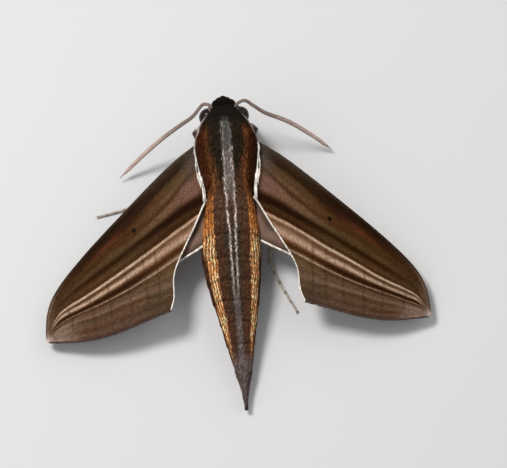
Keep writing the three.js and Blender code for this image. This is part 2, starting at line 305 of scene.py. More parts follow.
# How far the coat stands over a plain loft: each abdomen ring rises to its hind edge, and the shoulder flaps stand proud.
def bodyRelief(x, y, a):
    seams = np.array(body["seams"])
    ring = np.clip(np.searchsorted(-seams, -y) - 1, 0, len(seams) - 2)
    along = np.clip((seams[ring] - y) / (seams[ring] - seams[ring + 1]), 0, 1)
    onAbdomen = (y < seams[0]) & (y > seams[-1])
    rings = body["seamStep"] * np.where(onAbdomen, along**2 - 0.4, 0) * ease(-15.1, -12, y)
    cx, cy, rx, ry = body["flap"]
    far = ((np.abs(x) - cx) / rx) ** 2 + ((y - cy) / ry) ** 2
    flaps = body["flapProud"] * ease(1.0, 0.7, far) * ease(-0.5, 0.1, np.cos(a))
    return rings + flaps


# Point of the body's outside at share p and angle a from the middle of the back, grown by grow:
# an ellipse across the body, closed at the face as (1 - cap^2.4)^0.5.
def bodyPoint(p, a, grow=0.0):
    y = bodyY(p)
    halfWidth, top, bottom, middle = np.moveaxis(bodyForm(y), -1, 0)
    cap = np.clip((y - body["roundFrom"]) / (body["faceEnd"] - body["roundFrom"]), 0, 1)
    closing = np.sqrt(1 - cap**2.4)
    out = grow + bodyRelief(halfWidth * np.sin(a), y, a) * closing
    wide = np.maximum(halfWidth * closing + out, 0.03)
    high = np.maximum((top - bottom) / 2 * closing + out, 0.03)
    return np.stack([middle + wide * np.sin(a), y + 0 * a, (top + bottom) / 2 + high * np.cos(a)], -1)


# Angle from the middle of the back of any point near the body's side.
def bodyAngle(points):
    halfWidth, top, bottom, middle = np.moveaxis(bodyForm(points[:, 1]), -1, 0)
    return np.arctan2((points[:, 0] - middle) / halfWidth, (points[:, 2] - (top + bottom) / 2) / ((top - bottom) / 2))


def insideEyes(points, grow=0.0):
    c, r = np.array(body["eyeCentre"]), np.array(body["eyeRadii"]) + grow
    mirrored = np.abs(points * [1, 0, 0]) + points * [0, 1, 1]
    return np.sum(((mirrored - c) / r) ** 2, -1) < 1


# ---------- markings of the coat ----------
coat = {
    "cap": (0.0085, 0.0062, 0.0032), "olive": (0.024, 0.016, 0.008), "shoulder": (0.062, 0.0155, 0.0035),
    "rustStreak": (0.28, 0.1, 0.032), "waist": (0.1, 0.05, 0.028), "umber": (0.085, 0.034, 0.016),
    "shade": (0.045, 0.034, 0.021), "bandFront": (0.105, 0.104, 0.095), "bandRear": (0.28, 0.225, 0.2),
    "silver": (0.88, 0.74, 0.65), "gold": (0.56, 0.21, 0.05), "amber": (0.4, 0.125, 0.03),
    "cream": (1.0, 0.78, 0.42), "bark": (0.085, 0.026, 0.009), "flank": (0.065, 0.023, 0.012),
    "mauve": (0.18, 0.135, 0.125), "cheek": (0.3, 0.205, 0.195), "under": (0.45, 0.3, 0.23),
    "white": (0.9, 0.87, 0.83), "sideLine": (0.46, 0.41, 0.38),
    # y, turn of all markings round the body, as the abdomen lies a little on one side
    "turn": [(8, 0), (5, 0.03), (2, 0.07), (-0.5, 0.08), (-3, 0.075), (-6, 0.04), (-9, 0.03), (-12, 0), (-20.8, 0)],
    # y, the silver lines' distance from the middle, and their strength
    "silverLines": [(17.0, 0.4, 0), (15.5, 0.5, 0.25), (13.7, 0.53, 0.35), (11.6, 0.54, 0.65), (9.6, 0.62, 0.85),
                    (7.6, 0.66, 0.9), (5.7, 0.55, 1), (3.9, 0.6, 1), (2.7, 0.5, 1), (1.7, 0.4, 1), (-0.3, 0.39, 1),
                    (-2.2, 0.36, 0.85), (-4.1, 0.34, 0.6), (-6, 0.3, 0.4), (-8, 0.26, 0.0)],
    # y, the grey band's half width between them and its strength
    "band": [(17.0, 0.35, 0), (16.3, 0.45, 1), (15.0, 0.6, 1), (9.0, 0.66, 1), (6.8, 0.6, 0.6), (5.2, 0.5, 0)],
    # y, the rust streak's place in half widths, and its strength
    "rust": [(16.4, 0.62, 0), (15.2, 0.63, 0.5), (12.9, 0.62, 0.55), (9.9, 0.64, 1), (7.6, 0.66, 1), (6, 0.7, 0.8),
             (5.0, 0.76, 0.2)],
    # y, the gold band's inner and outer edge in half widths, and its strength
    "goldBand": [(7.6, 0.72, 0.88, 0.0), (5.4, 0.67, 0.92, 0.65), (4.0, 0.665, 0.97, 0.9), (2, 0.62, 1.0, 1),
                 (0, 0.61, 0.96, 1), (-2, 0.6, 0.92, 1), (-3.9, 0.63, 0.91, 1), (-5.8, 0.64, 0.92, 1),
                 (-7.7, 0.67, 0.96, 1), (-9.6, 0.69, 0.98, 1), (-11.5, 0.71, 0.93, 0.95), (-13.2, 0.78, 0.95, 0.5),
                 (-14.4, 0.82, 0.97, 0)],
    # y, place of the pale line that runs from the snout over the eye to the shoulder, in half widths
    "headLine": [(20.7, 0.8), (19.7, 0.8), (19.2, 0.78), (18.7, 0.78), (18.2, 0.83), (17.8, 0.87), (17.2, 0.89), (16.8, 0.92), (16.2, 0.935),
                 (15.7, 0.945), (15.2, 0.955), (14.6, 0.975), (14, 1.0)],
}
tracks = {key: smoothThrough(coat[key]) for key in ("turn", "silverLines", "band", "rust", "goldBand", "headLine")}


def over(base, colour, share):
    share = np.asarray(share)[..., None]
    return base * (1 - share) + np.asarray(coat[colour] if isinstance(colour, str) else colour) * share


# Colour of the coat at a place: bands that run along the body, laid over one another from the ground colour up.
# Distances from the middle line are in millimetres (off) or in half widths of the body (far).
def coatColour(y, a, jitter=0.0):
    a = a - tracks["turn"](y)[..., 0]
    far = np.abs(np.sin(a))
    ragged = far + 0.012 * jitter
    off = far * bodyForm(y)[..., 0] + 0.02 * jitter
    down = np.degrees(np.abs((a + pi) % (2 * pi) - pi))           # 0 on the back, 180 on the belly
    upper = ease(92, 86, down)
    thorax = ease(5.0, 9.0, y)
    head = ease(15.8, 16.9, y)
    tone = np.broadcast_to(np.array(coat["umber"]), (*np.shape(y), 3))
    tone = over(tone, "shade", 0.75 * ease(0.42, 0.2, far) * (1 - thorax))
    tone = over(tone, "waist", 0.8 * bell(y, 5.2, 2.6) * ease(0.75, 0.6, far))
    tone = over(tone, "olive", thorax * ease(7.0, 10.5, y))
    tone = over(tone, "shoulder", thorax * ease(0.5, 0.7, ragged))
    place, strength = np.moveaxis(tracks["rust"](y), -1, 0)
    strand = 0.65 + 0.35 * np.sin(far * 60 + 1.5 * np.sin(y * 0.9))
    tone = over(tone, "rustStreak", np.clip(strength, 0, 1) * strand * bell(far, place, 0.075))
    tone = over(tone, "rustStreak", 0.5 * bell(y, 10.0, 1.6) * bell(far, 0.5, 0.05))
    tone = over(tone, "flank", thorax * 0.7 * ease(0.9, 1.0, ragged))
    tone = over(tone, "cap", head)
    width, strength = np.moveaxis(tracks["band"](y), -1, 0)
    grey = np.array(coat["bandFront"]) + (np.array(coat["bandRear"]) - coat["bandFront"]) * ease(15, 10.5, y)[..., None]
    tone = over(tone, grey, 0.9 * np.clip(strength, 0, 1) * ease(width + 0.08, width - 0.08, off) * upper)
    gap, strength = np.moveaxis(tracks["silverLines"](y), -1, 0)
    wave = 0.03 * np.sin(y * 3.1) * ease(8, 5, y)
    tone = over(tone, "silver", np.clip(strength, 0, 1) * (0.8 + 0.2 * np.sin(y * 9)) * bell(off, gap + wave, 0.12) * upper)
    tone = over(tone, "mauve", 0.75 * ease(-4.5, -8, y) * ease(0.62, 0.25, off) * upper)
    inner, outer, strength = np.moveaxis(tracks["goldBand"](y), -1, 0)
    inGold = ease(inner - 0.02, inner + 0.025, ragged) * ease(outer + 0.03, outer - 0.02, ragged)
    inGold = inGold * np.clip(strength, 0, 1) * upper
    tone = over(tone, "flank", 0.9 * (1 - thorax) * ease(outer - 0.02, outer + 0.04, far))
    streak = np.sin(far * 66 + 2.2 * np.sin(y * 0.55 + 1) + 0.5 * np.sin(y * 1.9)) + 0.4 * np.sin(far * 163 + y * 1.3)
    streak = streak + 0.2 * jitter
    warm = over(np.broadcast_to(np.array(coat["amber"]), tone.shape), "gold", ease(-0.6, 0.5, streak))
    warm = over(warm, "bark", 0.85 * ease(-0.75, -1.05, streak))
    paleShare = bell((far - inner) / np.maximum(outer - inner, 0.05), 0.45, 0.5) * ease(4.5, 0.5, y)
    warm = over(warm, "cream", ease(0.1, 0.6, streak) * np.clip((0.25 + paleShare) * (0.85 + 0.4 * np.sin(y * 1.3 + 2.2)), 0, 0.95) * ease(3.5, 0.5, y))
    tone = over(tone, warm, inGold)
    tone = over(tone, "mauve", 0.85 * ease(-12.8, -15.5, y) * (1 - inGold))
    tail = 0.8 + 0.35 * np.sin(a * 9 + 2 * np.sin(y))
    tone = tone * (1 + (tail - 1) * ease(-13.5, -16, y))[..., None]
    dash = np.max([bell(y, s, 0.07) for s in body["seams"][4:7]], axis=0) * ease(0.4, 0.2, off)
    tone = over(tone, "silver", 0.8 * dash * upper)
    line = tracks["headLine"](y)[..., 0]
    front = ease(13.4, 14.4, y)
    tone = over(tone, "cheek", 0.9 * front * ease(line + 0.0, line + 0.05, far + 0.4 * (down > 90)))
    tone = over(tone, "sideLine", front * bell(far, line, 0.035) * upper)
    return over(tone, "under", 0.9 * ease(96, 124, down))


# Bakes land at a root's place on the skin's own unwrap: angle across, share of the piece's length along.
def skinPlace(y, a, low, high):
    return np.stack([0.02 + 0.96 * (((a + pi) / (2 * pi)) % 1), 0.02 + 0.96 * np.clip((y - low) / (high - low), 0, 1)], -1)


# ---------- node groups and materials ----------
def newGroup(name, inputs, outputs):
    tree = bpy.data.node_groups.new(name, "ShaderNodeTree")
    for label, kind, value in inputs:
        socket = tree.interface.new_socket(label, in_out="INPUT", socket_type=kind)
        if value is not None:
            socket.default_value = value
    for label, kind in outputs:
        tree.interface.new_socket(label, in_out="OUTPUT", socket_type=kind)
    return tree, tree.nodes.new("NodeGroupInput"), tree.nodes.new("NodeGroupOutput")


def addNode(tree, kind, settings=None, **sockets):
    node = tree.nodes.new(kind)
    for key, value in (settings or {}).items():
        setattr(node, key, value)
    for label, value in sockets.items():
        socket = node.inputs[int(label[1:])] if label[0] == "i" and label[1:].isdigit() else node.inputs[label.replace("_", " ")]
        if isinstance(value, bpy.types.NodeSocket):
            tree.links.new(value, socket)
        else:
            socket.default_value = value
    return node


def mathNode(tree, operation, *values):
    return addNode(tree, "ShaderNodeMath", {"operation": operation},
                   **{f"i{k}": v for k, v in enumerate(values)}).outputs[0]


def mixColour(tree, share, first, second, blend="MIX"):
    node = addNode(tree, "ShaderNodeMix", {"data_type": "RGBA", "blend_type": blend})
    for socket, value in ((node.inputs[0], share), (node.inputs[6], first), (node.inputs[7], second)):
        if isinstance(value, bpy.types.NodeSocket):
            tree.links.new(value, socket)
        else:
            socket.default_value = (*value, 1) if isinstance(value, tuple) else value
    return node.outputs[2]


# Soft cloudy change of brightness and a fine grain, for every scaled surface: colour times (1 + cloud + grain).
def buildDust():
    tree, given, out = newGroup(
        "scaleDust",
        [("Color", "NodeSocketColor", (0.5, 0.5, 0.5, 1)), ("Vector", "NodeSocketVector", None),
         ("Cloud", "NodeSocketFloat", 0.2), ("Grain", "NodeSocketFloat", 0.2)],
        [("Color", "NodeSocketColor"), ("Value", "NodeSocketFloat")])
    cloud = addNode(tree, "ShaderNodeTexNoise", Vector=given.outputs["Vector"], Scale=900.0, Detail=3.0)
    grain = addNode(tree, "ShaderNodeTexNoise", Vector=given.outputs["Vector"], Scale=4200.0, Detail=2.0)
    slow = mathNode(tree, "MULTIPLY", mathNode(tree, "SUBTRACT", cloud.outputs[0], 0.5), given.outputs["Cloud"])
    fast = mathNode(tree, "MULTIPLY", mathNode(tree, "SUBTRACT", grain.outputs[0], 0.5), given.outputs["Grain"])
    total = mathNode(tree, "ADD", mathNode(tree, "MULTIPLY", mathNode(tree, "ADD", slow, fast), 2.0), 1.0)
    grey = addNode(tree, "ShaderNodeCombineColor", i0=total, i1=total, i2=total).outputs[0]
    tree.links.new(mixColour(tree, 1.0, given.outputs["Color"], grey, "MULTIPLY"), out.inputs["Color"])
    tree.links.new(total, out.inputs["Value"])
    return tree


# Rows of tiny overlapping scales as a height: cells stretched along the second direction of the given map.
def buildShingle():
    tree, given, out = newGroup(
        "scaleShingle",
        [("Vector", "NodeSocketVector", None), ("Rows", "NodeSocketFloat", 8.0), ("Stretch", "NodeSocketFloat", 2.2)],
        [("Height", "NodeSocketFloat"), ("Cell", "NodeSocketFloat")])
    squeeze = addNode(tree, "ShaderNodeCombineXYZ", i0=1.0, i1=mathNode(tree, "DIVIDE", 1.0, given.outputs["Stretch"]), i2=1.0)
    spread = addNode(tree, "ShaderNodeVectorMath", {"operation": "MULTIPLY"},
                     i0=given.outputs["Vector"], i1=squeeze.outputs[0])
    cells = addNode(tree, "ShaderNodeTexVoronoi", {"feature": "F1"}, Vector=spread.outputs[0],
                    Scale=given.outputs["Rows"], Randomness=0.75)
    tree.links.new(mathNode(tree, "SUBTRACT", 1.0, cells.outputs["Distance"]), out.inputs["Height"])
    cell = addNode(tree, "ShaderNodeSeparateColor", i0=cells.outputs["Color"])
    tree.links.new(cell.outputs[0], out.inputs["Cell"])
    return tree


dustGroup = buildDust()
shingleGroup = buildShingle()


def placeGroup(tree, group, **sockets):
    node = tree.nodes.new("ShaderNodeGroup")
    node.node_tree = group
    for label, value in sockets.items():
        if isinstance(value, bpy.types.NodeSocket):
            tree.links.new(value, node.inputs[label])
        else:
            node.inputs[label].default_value = value
    return node


def newMaterial(name, **sockets):
    material = bpy.data.materials.new(name)
    material.use_nodes = True
    shader = material.node_tree.nodes["Principled BSDF"]
    for label, value in sockets.items():
        shader.inputs[label.replace("_", " ")].default_value = value
    return material, material.node_tree, shader


def attributeOf(tree, name):
    return addNode(tree, "ShaderNodeAttribute", {"attribute_name": name})


# Coat and skin: the markings come as an attribute, and each hair is a little lighter or darker along its grain; then
# the colour is multiplied by a painted-shade factor: 1.0 on the coat, lower on the skin, which shows only in the shade
# between the tufts.
def coatMaterial(name, paintedShade, roughness):
    material, tree, shader = newMaterial(name, Roughness=roughness, Specular_IOR_Level=0.08)
    marks = attributeOf(tree, "markings")
    place = addNode(tree, "ShaderNodeTexCoord")
    dust = placeGroup(tree, dustGroup, Color=marks.outputs["Color"], Vector=place.outputs["Object"], Cloud=0.25, Grain=0.22)
    # Painted shade: the colour times the given darkening factor.
    shade = mixColour(tree, 1.0, dust.outputs["Color"], (paintedShade, paintedShade, paintedShade), "MULTIPLY")
    tree.links.new(shade, shader.inputs["Base Color"])
    height = addNode(tree, "ShaderNodeTexNoise", Vector=place.outputs["Object"], Scale=7000.0, Detail=2.0)
    bump = addNode(tree, "ShaderNodeBump", Strength=0.25, Distance=0.00004, Height=height.outputs[0])
    tree.links.new(bump.outputs[0], shader.inputs["Normal"])
    return material


coatFinish = coatMaterial("coat_scales", 1.0, 0.55)
# The skin's colour is painted 0.7 as dark: painted shade, since it shows only between the tufts where their shade
# falls.
skinShadedFinish = coatMaterial("skin_scales", 0.7, 0.8)
print("studio and finishes ready")


# ---------- skin ----------

# Ellipsoid: centre + radii * (sin v cos u, sin v sin u, cos v).
def ellipsoidGrid(centre, radii, across=64, down=40, skip=0.02):
    u = np.linspace(0, 2 * pi, across, endpoint=False)[None, :]
    v = np.linspace(skip, pi - skip, down)[:, None]
    ball = np.stack([np.sin(v) * np.cos(u), np.sin(v) * np.sin(u), np.cos(v) + 0 * u], -1)
    return np.array(centre) + ball * np.array(radii)


def buildSkin():
    p, a = np.meshgrid(np.linspace(0, 0.9995, 420), np.linspace(-pi, pi, 128, endpoint=False), indexing="ij")
    parts = [closedGrid(bodyPoint(p, a, -coatDepth(bodyY(p))[..., 0]))]
    for side in (-1, 1):
        centre = np.array(body["palpCentre"]) * [side, 1, 1]
        parts.append(closedGrid(ellipsoidGrid(centre, np.array(body["palpRadii"]) - body["palpCoat"], 36, 24)))
    parts += [closedGrid(ellipsoidGrid(centre, radii, 36, 24)) for centre, radii in body["fillers"]]
    parts = [(points, outward(points, faces)) for points, faces in parts]
    rough = makeMesh("skinParts", *joined(parts))
    maker = bpy.data.objects.new("skinMaker", rough)
    scene.collection.objects.link(maker)
    remesh = maker.modifiers.new("one", "REMESH")
    remesh.mode = "VOXEL"
    remesh.voxel_size = body["voxel"]
    remesh.use_smooth_shade = True
    soften = maker.modifiers.new("soften", "SMOOTH")
    soften.factor = 0.5
    soften.iterations = 5
    mesh = bpy.data.meshes.new_from_object(maker.evaluated_get(bpy.context.evaluated_depsgraph_get()))
    bpy.data.objects.remove(maker)
    bpy.data.meshes.remove(rough)
    mesh.name = "body_skin"
    points = readPoints(mesh)
    tone = np.ones((len(points), 4), np.float32)
    tone[:, :3] = coatColour(points[:, 1], bodyAngle(points))
    mesh.attributes.new("markings", "FLOAT_COLOR", "POINT").data.foreach_set("color", tone.ravel())
    return mesh


def readPoints(mesh):
    points = np.empty(len(mesh.vertices) * 3, np.float32)
    mesh.vertices.foreach_get("co", points)
    return points.reshape(-1, 3).astype(float) / mm


skinMesh = buildSkin()
addPiece("body_skin", skinMesh, skinShadedFinish, "coat_rust", "head", "thorax", "shoulder_flap_right",
         "shoulder_flap_left", *[f"abdomen_{k + 1}" for k in range(8)], "tail_tuft", "palp_right", "palp_left")
skinPoints = readPoints(skinMesh)
skinMesh.calc_loop_triangles()
skinFaces = np.empty(len(skinMesh.loop_triangles) * 3, np.int32)
skinMesh.loop_triangles.foreach_get("vertices", skinFaces)
skinFaces = skinFaces.reshape(-1, 3)
skinNormals = np.empty(len(skinPoints) * 3, np.float32)
skinMesh.vertex_normals.foreach_get("vector", skinNormals)
skinNormals = skinNormals.reshape(-1, 3).astype(float)
print("skin made", len(skinFaces), "triangles")


# Roots spread evenly over the skin's triangles between two values of y, each with the skin's normal there.
def skinRoots(low, high, count):
    corner = skinPoints[skinFaces]
    middle = corner.mean(1)[:, 1]
    area = np.linalg.norm(np.cross(corner[:, 1] - corner[:, 0], corner[:, 2] - corner[:, 0]), axis=1)
    gone = np.cumsum(area * ((middle > low) & (middle < high)))
    pick = np.searchsorted(gone, chance.uniform(0, gone[-1], count))
    u, v = chance.uniform(0, 1, (2, count))
    u, v = np.where(u + v > 1, 1 - u, u), np.where(u + v > 1, 1 - v, v)
    share = np.stack([1 - u - v, u, v], -1)[..., None]
    return np.sum(corner[pick] * share, 1), unit(np.sum(skinNormals[skinFaces[pick]] * share, 1))


# ---------- coat ----------
# Each field of the coat: its stretch of the body, how many blades, and their length, width, lift and spread.
fields = {
    "head_coat": {"from": 16.6, "to": 21.0, "count": 11000, "length": 0.46, "width": 0.09, "lift": 0.09, "spread": 0.25},
    "thorax_coat": {"from": 7.2, "to": 17.0, "count": 16500, "length": 1.25, "width": 0.11, "lift": 0.19, "spread": 0.12},
    "abdomen_coat_front": {"from": -2.0, "to": 7.8, "count": 17500, "length": 0.8, "width": 0.12, "lift": 0.13, "spread": 0.08},
    "abdomen_coat_rear": {"from": -15.4, "to": -1.6, "count": 17500, "length": 0.75, "width": 0.11, "lift": 0.11, "spread": 0.08},
    "tail_coat": {"from": -20.7, "to": -14.6, "count": 4500, "length": 1.6, "width": 0.09, "lift": 0.08, "spread": 0.06},
}


# On the face the scales stand up and back; everywhere else they lie towards the tail.
def lieOver(normal):
    rise = ease(0.45, 0.85, normal[:, 1])[:, None]
    return unit(np.array([0, -1.0, 0]) * (1 - rise) + np.array([0, -0.35, 1.0]) * rise)


def buildField(name, spec):
    n = spec["count"]
    root, normal = skinRoots(spec["from"], spec["to"], n)
    y, a = root[:, 1], bodyAngle(root)
    jitter = chance.normal(0, 1, n)
    lie = lieOver(normal)
    side = unit(np.cross(lie, normal))
    lie = unit(lie + side * (spec["spread"] * chance.normal(0, 1, n))[:, None])
    face = ease(0.3, 0.8, normal[:, 1])
    length = spec["length"] * chance.uniform(0.7, 1.25, n) * (1 - 0.3 * face)
    length = np.minimum(length * (1 - 0.2 * ease(-15, -20.5, y)), np.maximum(y + 20.9, 0.25))
    width = spec["width"] * chance.uniform(0.75, 1.3, n)
    lift = spec["lift"] * chance.uniform(0.35, 1.15, n) * (1 - 0.4 * face)
    half = root + unit(lie - normal * np.sum(lie * normal, -1, keepdims=True)) * (length * 0.5)[:, None]
    keep = np.flatnonzero(~(insideEyes(root, 0.0) | insideEyes(half + normal * 0.04, -0.06)))
    parts = blades(root[keep], normal[keep], lie[keep], length[keep], width[keep], lift[keep],
                   sway=0.06 * chance.normal(0, 1, len(keep)) * length[keep])
    tone = coatColour(y[keep], a[keep], jitter[keep]) * (1 + 0.25 * np.clip(jitter[keep], -2, 2.5))[:, None]
    return (*parts, np.clip(tone, 0.002, 1), skinPlace(y[keep], a[keep], spec["from"], spec["to"]))


# White hair strands along each side of the thorax, over the wing's root.
streaks = {
    "path": [(3.95, 14.4, 8.25), (4.14, 13.1, 8.05), (4.02, 11.5, 7.95), (3.88, 10.4, 7.9), (3.72, 9.3, 7.82), (3.52, 8.2, 7.75),
             (3.42, 7.2, 7.65), (3.4, 6.5, 7.5)],
    # The strands' white is set above full white, so they show brighter than a white surface can: their real white plus
    # a painted highlight.
    "count": 180, "length": 1.6, "width": 0.066, "white": (1.15, 1.08, 1.0),
}


def buildStreaks():
    n = streaks["count"]
    share = np.sort(chance.beta(1.5, 1.1, n))
    stray = np.arange(n) % 4 == 0                # a second, thinner strand stands a little off
    root = splineAt(streaks["path"], share)
    ahead = unit(splineAt(streaks["path"], share + 0.02) - splineAt(streaks["path"], share - 0.02))
    root = root + chance.normal(0, 1, (n, 3)) * [1, 1, 0.5] * (0.015 + 0.06 * ease(0.3, 0.7, share))[:, None] + np.where(stray, 0.34 * bell(share, 0.45, 0.22), 0)[:, None] * [1, 0, 0]
    normal = unit(np.array([0.2, -0.1, 1.0]) + chance.normal(0, 0.1, (n, 3)))
    lie = unit(ahead + chance.normal(0, 0.035, (n, 3)))
    length = np.minimum(streaks["length"] * chance.uniform(0.5, 1.1, n), (1.02 - share) * 9 + 0.5)
    parts, tones, places = [], [], []
    for side in (1, -1):
        flip = np.array([side, 1, 1])
        parts.append(blades(root * flip, normal * flip, lie * flip, length, streaks["width"] * chance.uniform(0.6, 1.2, n), 0.06))
        # Tones may reach 1.2, above full white, which paints a highlight onto the white strands.
        tones.append(np.clip(np.array(streaks["white"]) * chance.uniform(0.75, 1.1, (n, 1)) * (0.45 + 0.55 * ease(0, 0.25, share))[:, None], 0, 1.2))
        places.append(skinPlace(root[:, 1], np.full(n, 1.5 * side), 5, 15))
    return (*joined(parts), np.concatenate(tones), np.concatenate(places))


def addCoat(name, parts, slot, material=coatFinish):
    points, faces, tone, place = parts
    mesh = makeMesh(name, points, faces, {"markings": perBlade(tone)}, bladePatches(place))
    print(name, len(faces), "triangles")
    return addPiece(name, mesh, material, slot)


for fieldName, spec in fields.items():
    addCoat(fieldName, buildField(fieldName, spec), "coat_dark" if "head" in fieldName else "coat_gold")
addCoat("thorax_streaks", buildStreaks(), "coat_grey")

# ---------- wings ----------
wings = {
    "shoulder": (4, 13.6, 7.6), "fallOutward": 0.19, "fallRearward": 0.07, "bow": 0.6, "halfSpan": 25.1,
    "hindDrop": 0.85, "skinBelowTop": 0.1,
}
foreEdges = {
    "costa": [(2.6, 14.6), (4.4, 13.72), (8, 11.15), (14, 5.82), (20, 0.32), (23.4, -3.42), (24.75, -6.3), (25.1, -9.9)],
    "inner": [(2.6, 6.6), (3.5, 5.49), (5, 2.47), (7, -1.28), (7.95, -3.75), (8.1, -6.55), (8.6, -8.2)],
    "outer": [(8.6, -8.2), (12, -9.25), (16, -10.38), (20, -10.75), (24.6, -10.2)],
    "corner": 0.6,
}
hindEdges = {
    "costa": [(2.6, 11.0), (8, 8.2), (13, 3.4), (16.9, -2.2)],
    "inner": [(2.6, 5.5), (3.3, 2.6), (3.6, 0.5)],
    "outer": [(3.6, 0.5), (5, -0.3), (7.5, -1.75), (8.7, -3.6), (11, -5.2), (14.2, -5.6), (16.5, -3.6)],
    "corner": 0.3,
}
# Lines that the forewing's stripes follow, from the costa back to the outer margin: y of each line at these values of x.
stripeStations = [2.6, 4, 6, 8, 10, 12, 14, 16, 18, 20, 22, 23.4, 25.2]
stripeTracks = {
    "right": [
        [14.6, 13.95, 12.65, 11.15, 9.37, 7.53, 5.82, 4.09, 2.26, 0.32, -1.71, -3.42, -9.89],
        [13.96, 12.83, 10.94, 9.22, 7.28, 5.33, 3.66, 2.18, 0.58, -1.2, -3.02, -4.77, -9.91],
        [12.4, 10.88, 8.35, 6.28, 4.47, 2.81, 1.41, 0.14, -1.38, -2.88, -4.45, -5.8, -9.93],
        [6.33, 5.86, 5.07, 3.74, 2.41, 1.08, -0.26, -1.56, -2.83, -4.08, -5.41, -6.58, -9.95],
        [4.84, 4.12, 2.92, 1.75, 0.39, -0.99, -2.23, -3.46, -4.74, -5.8, -6.68, -7.53, -9.97],
        [3.36, 2.64, 1.44, 0.23, -1.21, -2.5, -3.55, -4.7, -5.73, -6.66, -7.48, -8.09, -10.0],
        [1.79, 1.1, -0.04, -1.18, -2.31, -3.43, -4.49, -5.45, -6.28, -7.07, -7.82, -8.35, -10.04],
        [0.91, 0.31, -0.69, -1.78, -3.02, -4.14, -5.14, -6.03, -6.79, -7.48, -8.23, -8.72, -10.07],
        [-0.95, -1.89, -3.47, -4.66, -5.5, -6.18, -6.86, -7.48, -8.16, -8.57, -9.01, -9.33, -10.1],
        [-5.0, -6.05, -7.4, -8.07, -8.66, -9.25, -9.87, -10.38, -10.66, -10.75, -10.57, -10.37, -10.2],
    ],
    "left": [
        [14.6, 13.95, 12.65, 11.15, 9.37, 7.53, 5.82, 4.09, 2.26, 0.32, -1.71, -3.42, -9.89],
        [14.15, 13.05, 11.23, 9.31, 7.43, 5.58, 3.96, 2.32, 0.7, -0.99, -2.75, -4.45, -9.91],
        [12.63, 11.14, 8.65, 6.4, 4.65, 3.12, 1.71, 0.55, -0.89, -2.35, -3.91, -5.35, -9.93],
        [6.25, 5.86, 5.21, 4.03, 2.75, 1.43, 0.13, -1.1, -2.22, -3.38, -4.61, -5.98, -9.95],
        [5.18, 4.35, 2.97, 1.75, 0.44, -0.77, -1.96, -3.07, -4.13, -5.11, -5.99, -6.98, -9.97],
        [3.57, 2.81, 1.54, 0.39, -0.77, -2.0, -3.14, -4.2, -5.16, -6.03, -6.71, -7.52, -10.0],
        [1.86, 1.27, 0.29, -0.87, -2.13, -3.06, -4.05, -4.98, -5.8, -6.55, -7.14, -7.88, -10.04],
        [1.1, 0.45, -0.62, -1.72, -2.9, -3.87, -4.8, -5.61, -6.31, -6.88, -7.53, -8.22, -10.07],
        [-0.95, -1.89, -3.47, -4.66, -5.45, -5.85, -6.41, -6.96, -7.54, -7.88, -8.33, -8.85, -10.1],
        [-5.0, -6.05, -7.4, -8.07, -8.66, -9.25, -9.87, -10.38, -10.66, -10.75, -10.57, -10.37, -10.2],
    ],
}


# Height of a wing's upper side over a place: a plane that falls outwards and rearwards, bowed up in mid span.
def wingTop(x, y):
    sx, sy, sz = wings["shoulder"]
    out = np.maximum(x - sx, 0) / (wings["halfSpan"] - sx)
    return (sz - wings["fallOutward"] * (x - sx) - wings["fallRearward"] * (sy - y)
            + wings["bow"] * np.sin(pi * np.minimum(out, 1)))


# Place in plan for s from root to tip and t from the front edge to the hind edge: a straight line between the two edges.
def wingPlan(edges, s, t):
    lead = splineAt(edges["costa"], s)
    corner = edges["corner"]
    rear = np.where((s < corner)[..., None], splineAt(edges["inner"], s / corner),
                    splineAt(edges["outer"], (s - corner) / (1 - corner)))
    return lead + (rear - lead) * t[..., None], np.linalg.norm(rear - lead, axis=-1)


# Which stripe a place lies in: the number of the track in front of it plus the share of the way to the next.
def stripeNumber(x, y, word):
    heights = [smoothThrough(list(zip(stripeStations, track)))(x)[..., 0] for track in stripeTracks[word]]
    number = np.zeros_like(x)
    for front, rear in zip(heights, heights[1:]):
        number = number + np.clip((front - y) / np.maximum(front - rear, 1e-3), 0, 1)
    return number


# Veins: each leaves the root at share t0 and reaches the hind edge at share s1, or runs to the tip.
foreVeins = [(0.06, 1.02), (0.16, 1.05), (0.27, 1.0), (0.38, 0.95), (0.5, 0.88), (0.6, 0.8), (0.7, 0.72), (0.8, 0.63)]
hindVeins = [(0.2, 1.0), (0.4, 0.85), (0.6, 0.65), (0.8, 0.45)]


def veinRidge(veins, s, t, chord, width):
    ridge = np.zeros_like(s)
    for t0, s1 in veins:
        bend = np.clip(s / s1, 0, 1.2)
        at = t0 + (1 - t0) * bend**3.2 if s1 < 1.01 else t0 * (1 - 0.5 * bend)
        ridge = np.maximum(ridge, bell((t - at) * chord, 0, width) * (s < s1 + 0.02))
    return ridge


# A wing as a thin closed plate: the section runs over the upper side and back along the lower one.
def wingGrid(edges, drop, veins, rows, across, thickest):
    s = np.linspace(0, 1, rows)[:, None]
    half = 0.5 - 0.5 * np.cos(np.linspace(0, pi, across))
    t = np.concatenate([half, half[-2:0:-1]])[None, :]
    lower = np.concatenate([np.zeros(across), np.ones(across - 2)])[None, :]
    s, t = np.broadcast_arrays(s, t)
    plan, chord = wingPlan(edges, s, t)
    x, y = plan[..., 0], plan[..., 1]
    vein = veinRidge(veins, s, t, chord, 0.1)
    edge = np.clip(np.minimum(t, 1 - t) * chord / 0.5, 0, 1) * np.clip((1.005 - s) * 30, 0, 1)
    thick = 0.03 + thickest * np.sqrt(edge)
    pleat = 0.03 * np.sin(t * 19) * ease(0.0, 0.3, s)
    top = wingTop(x, y) - drop - wings["skinBelowTop"] + 0.045 * vein * edge + pleat * edge - 0.12 * (1 - edge) ** 2
    z = np.where(lower > 0.5, top - thick, top)
    return np.stack([x, y, z], -1), s, t, chord, vein, lower + 0 * s


